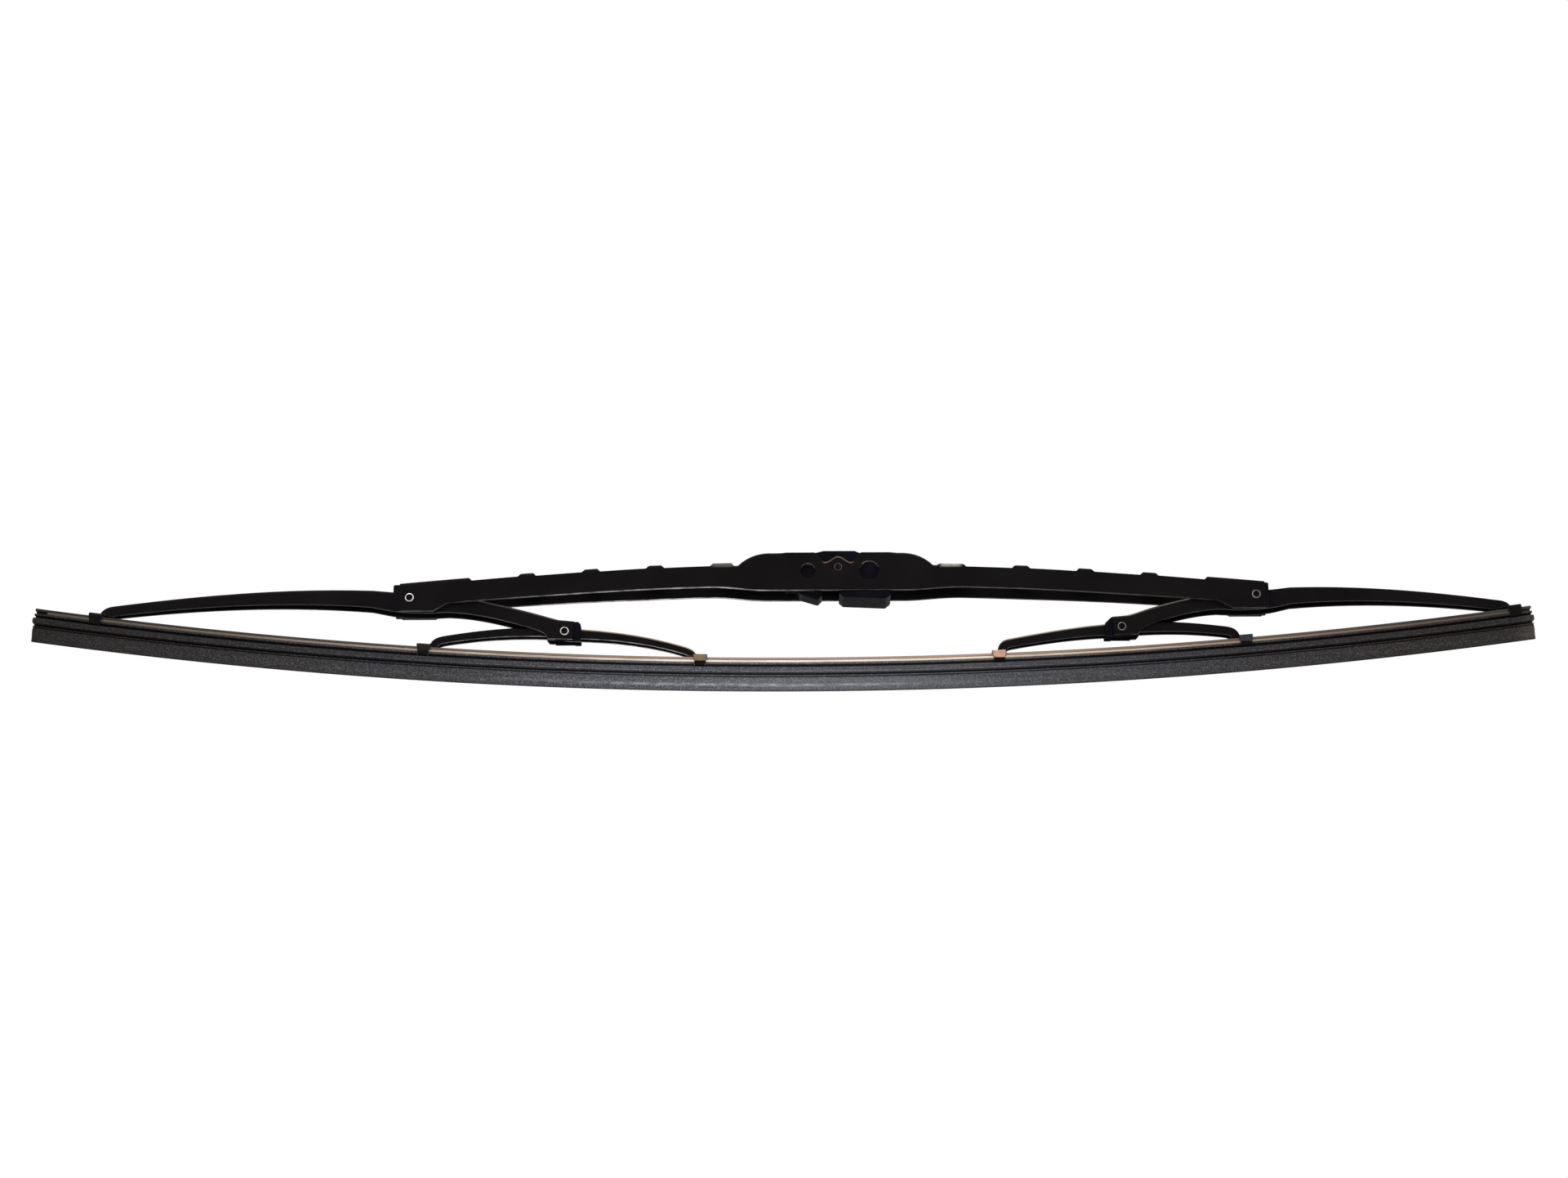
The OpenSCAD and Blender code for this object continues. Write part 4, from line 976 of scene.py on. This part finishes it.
# The rubber's section as a closed run of (y, up) points, from the head down one side and up the other.
def rubberSection():
    head, ledge, wing, hinge, rib = (section[k][0] / 2 for k in ("head", "ledge", "wing", "hinge", "rib"))
    web, neck, body, lip = (section[k] / 2 for k in ("web", "neck", "body", "lip"))
    railTop = section["head"][1]
    ledgeTop = railTop + section["rail"][1]
    grooveTop = ledgeTop + section["ledge"][1]
    wingTop = grooveTop + section["groove"]
    hingeTop = wingTop + section["wing"][1]
    ribTop = hingeTop + section["hinge"][1]
    bodyTop = ribTop + section["rib"][1]
    half = np.array([
        (head - 0.25, 0), (head, 0.2), (head, railTop), (web, railTop), (web, ledgeTop), (ledge, ledgeTop),
        (ledge, grooveTop - 0.15), (ledge - 0.25, grooveTop), (neck, grooveTop), (neck, wingTop),
        (wing - 0.35, wingTop), (wing, wingTop + 0.3), (wing, hingeTop - 0.55), (wing - 0.5, hingeTop),
        (hinge, hingeTop), (hinge, ribTop), (rib - 0.2, ribTop), (rib, ribTop + 0.15), (rib, bodyTop),
        (body - section["ribGroove"], bodyTop + 0.15), (body, bodyTop + 0.45), (body - 0.2, bodyTop + 1.5),
        (lip + 0.25, strip["height"] - 1.2), (lip, strip["height"])])
    return np.concatenate([half, half[::-1] * (-1, 1)]) * (1, -1)


def railSection(way):
    near, (wide, thick) = section["web"] / 2, section["rail"]
    top = -section["head"][1]
    y = np.array([near, near + wide, near + wide, near]) * way
    return np.stack([y, [top, top, top - thick, top - thick]], axis=-1)


# An outline carried along the strip's circle, closed by a face at each end.
def sweptMesh(name, outline, turns, materials, step=2.4, inset=0.0):
    count, n = max(3, int((turns[1] - turns[0]) * strip["radius"] / step)), len(outline)
    middle = outline.mean(axis=0)
    outline = middle + (outline - middle) * (1 - inset)
    points = onStrip(np.linspace(*turns, count)[:, None], outline[:, 0], outline[:, 1]).reshape(-1, 3)
    first = np.arange(n)
    caps = np.stack([first[::-1], first + (count - 1) * n])
    return mend(fillMesh(name, points, [ringQuads(count, n).reshape(-1, 4), caps], materials), 0.0005)


# Keeps a mesh's places at rest for its material.
def keepRest(mesh):
    spots = np.empty(len(mesh.vertices) * 3, np.float32)
    mesh.vertices.foreach_get("co", spots)
    mesh.attributes.new("atRest", "FLOAT_VECTOR", "POINT").data.foreach_set("vector", spots)


# One long piece of the strip: a middle that rides on the left yoke, with a tongue at each seam, and two
# ends that run from a yoke's outer claw to a lever's claw.
def makeStrip(name, outline, ends, materials, slot, edge, node):
    seams = turnAt(-yokeSizes["left"]["outer"]), turnAt(yokeSizes["right"]["outer"])
    reach = 2.0 / strip["radius"]
    parts = [sweptMesh(f"{name}.middle", outline, seams, materials)]
    for seam in seams:
        parts.append(sweptMesh("tongue", outline, (seam - reach, seam + reach), materials, 1.0, 0.03))
    whole = joined(f"{name}.middle", parts)
    keepRest(whole)
    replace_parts(piece(f"{name}.middle", whole, slot, "yoke_left", edge), node)
    for side, turns in (("left", (ends[0], seams[0])), ("right", (seams[1], ends[1]))):
        start, end = (tuple(onStrip(turnAt(sides[side] * x), 0, 0) * mm)
                      for x in (yokeSizes[side]["outer"], leverSizes[side]["tip"]))
        mesh = sweptMesh(f"{name}.{side}", outline, turns, materials)
        keepRest(mesh)
        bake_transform(piece(mesh.name, mesh, slot, None, edge))


rubberEnds = -strip["left"] / strip["radius"], strip["right"] / strip["radius"]
inset = strip["railInset"] / strip["radius"]
railEnds = rubberEnds[0] + inset, rubberEnds[1] - inset
makeStrip("rubber", rubberSection(), rubberEnds, [rubber], "rubber", 0.1, "rubber_element")
makeStrip("railFront", railSection(-1), railEnds, [spring], "spring_steel", 0.34, "rail_front")
makeStrip("railBack", railSection(1), railEnds, [spring], "spring_steel", 0.34, "rail_back")
print("wiper blade: strip made")


# Clip and liners: the CAD solids with their moulded edges rounded

clipEdges = {
    "adapter": ("clip", "adapter", 0.28), "bush_lever_left": ("liner.lever.left", "bridge", 0.14),
    "bush_lever_right": ("liner.lever.right", "bridge", 0.14),
    "bush_yoke_left": ("liner.yoke.left", "lever_left", 0.12),
    "bush_yoke_right": ("liner.yoke.right", "lever_right", 0.12)}
for node, (name, body, edge) in clipEdges.items():
    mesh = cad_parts[node].data.copy()  # it has its finish, plastic, already
    mesh.name = name
    mend(mesh, flat=1.0).shade_flat()
    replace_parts(piece(name, mesh, "black_plastic", body, edge, 3, 30, True), node)
print("wiper blade: clip and liners made")


# Floor, light and camera

floorSizes = {"level": -620, "half": 3000}
floorMaterial, place = newMaterial("paleFloor", (0.9, 0.9, 0.9), 0.7)
finishOf(floorMaterial, rampOf(noiseOf(place, 6), (0.3, 0.88), (0.7, 0.92)))
half = floorSizes["half"]
corners = [(x * half, y * half, floorSizes["level"]) for x, y in ((-1, -1), (1, -1), (1, 1), (-1, 1))]
placed("floor", fillMesh("floor", corners, [np.array([[0, 1, 2, 3]])], [floorMaterial]))

lightSizes = {"behindCamera": 0.55, "behindBlade": 1.0, "below": 0.9, "above": 0.6}
world = bpy.data.worlds.new("studio")
bpy.context.scene.world = world
world.use_nodes = True
sky = world.node_tree
direction = sky.nodes.new("ShaderNodeTexCoord").outputs["Generated"]
across = shareOf(axisOf(direction, "Y"), -0.75, 0.25, lightSizes["behindCamera"], lightSizes["behindBlade"],
                 "SMOOTHSTEP")
height = axisOf(direction, "Z")
below = shareOf(height, -0.35, -0.75, 0.0, lightSizes["below"], "SMOOTHSTEP")
above = shareOf(height, 0.2, 0.9, 1.0, lightSizes["above"], "SMOOTHSTEP")
strength = product(mathOf("MAXIMUM", across, below), above)
rays = sky.nodes.new("ShaderNodeLightPath")
for kind in ("Is Camera Ray", "Is Glossy Ray", "Is Transmission Ray"):  # these see plain white
    strength = mathOf("MAXIMUM", strength, rays.outputs[kind])
sky.links.new(strength, sky.nodes["Background"].inputs["Strength"])
sky.nodes["Background"].inputs["Color"].default_value = (1, 1, 1, 1)


# Turns an object at a spot towards a target.
def aim(thing, spot, target, roll=0.0):
    thing.location = spot
    thing.rotation_mode = "QUATERNION"
    look = (Vector(target) - Vector(spot)).to_track_quat("-Z", "Y")
    thing.rotation_quaternion = look @ Quaternion((0, 0, 1), roll)


def addLamp(name, spot, target, size, power, tint=(1, 1, 1)):
    data = bpy.data.lights.new(name, "AREA")
    data.shape, data.size, data.energy, data.color = "DISK", size, power, tint
    aim(placed(name, data), spot, target)


addLamp("softKey", (-0.35, -0.75, 0.95), (0, 0, -0.02), 0.9, 4.0, (1.0, 0.98, 0.96))
addLamp("topGlint", (0.05, 0.14, 0.5), (0.02, 0, -0.01), 0.14, 1.2, (1.0, 0.94, 0.88))
addLamp("frontGlint", (-0.12, -0.9, -0.12), (0, 0, -0.02), 0.09, 0.9)

cameraSizes = {
    "target": (-0.0179, 0.0, -0.0055), "distance": 1.1, "elevation": -17.0, "roll": -0.00424,
    "focal": 76.1, "sensor": 36.0}
lens = bpy.data.cameras.new("photo")
lens.sensor_width, lens.lens = cameraSizes["sensor"], cameraSizes["focal"]
lens.clip_start, lens.clip_end = 0.05, 20
camera = placed("photo", lens)
tilt = math.radians(cameraSizes["elevation"])
back = Vector((0, -math.cos(tilt), math.sin(tilt))) * cameraSizes["distance"]
aim(camera, Vector(cameraSizes["target"]) + back, cameraSizes["target"], cameraSizes["roll"])
bpy.context.scene.camera = camera
bpy.context.scene.view_settings.view_transform = "Standard"

print("wiper blade: scene ready")
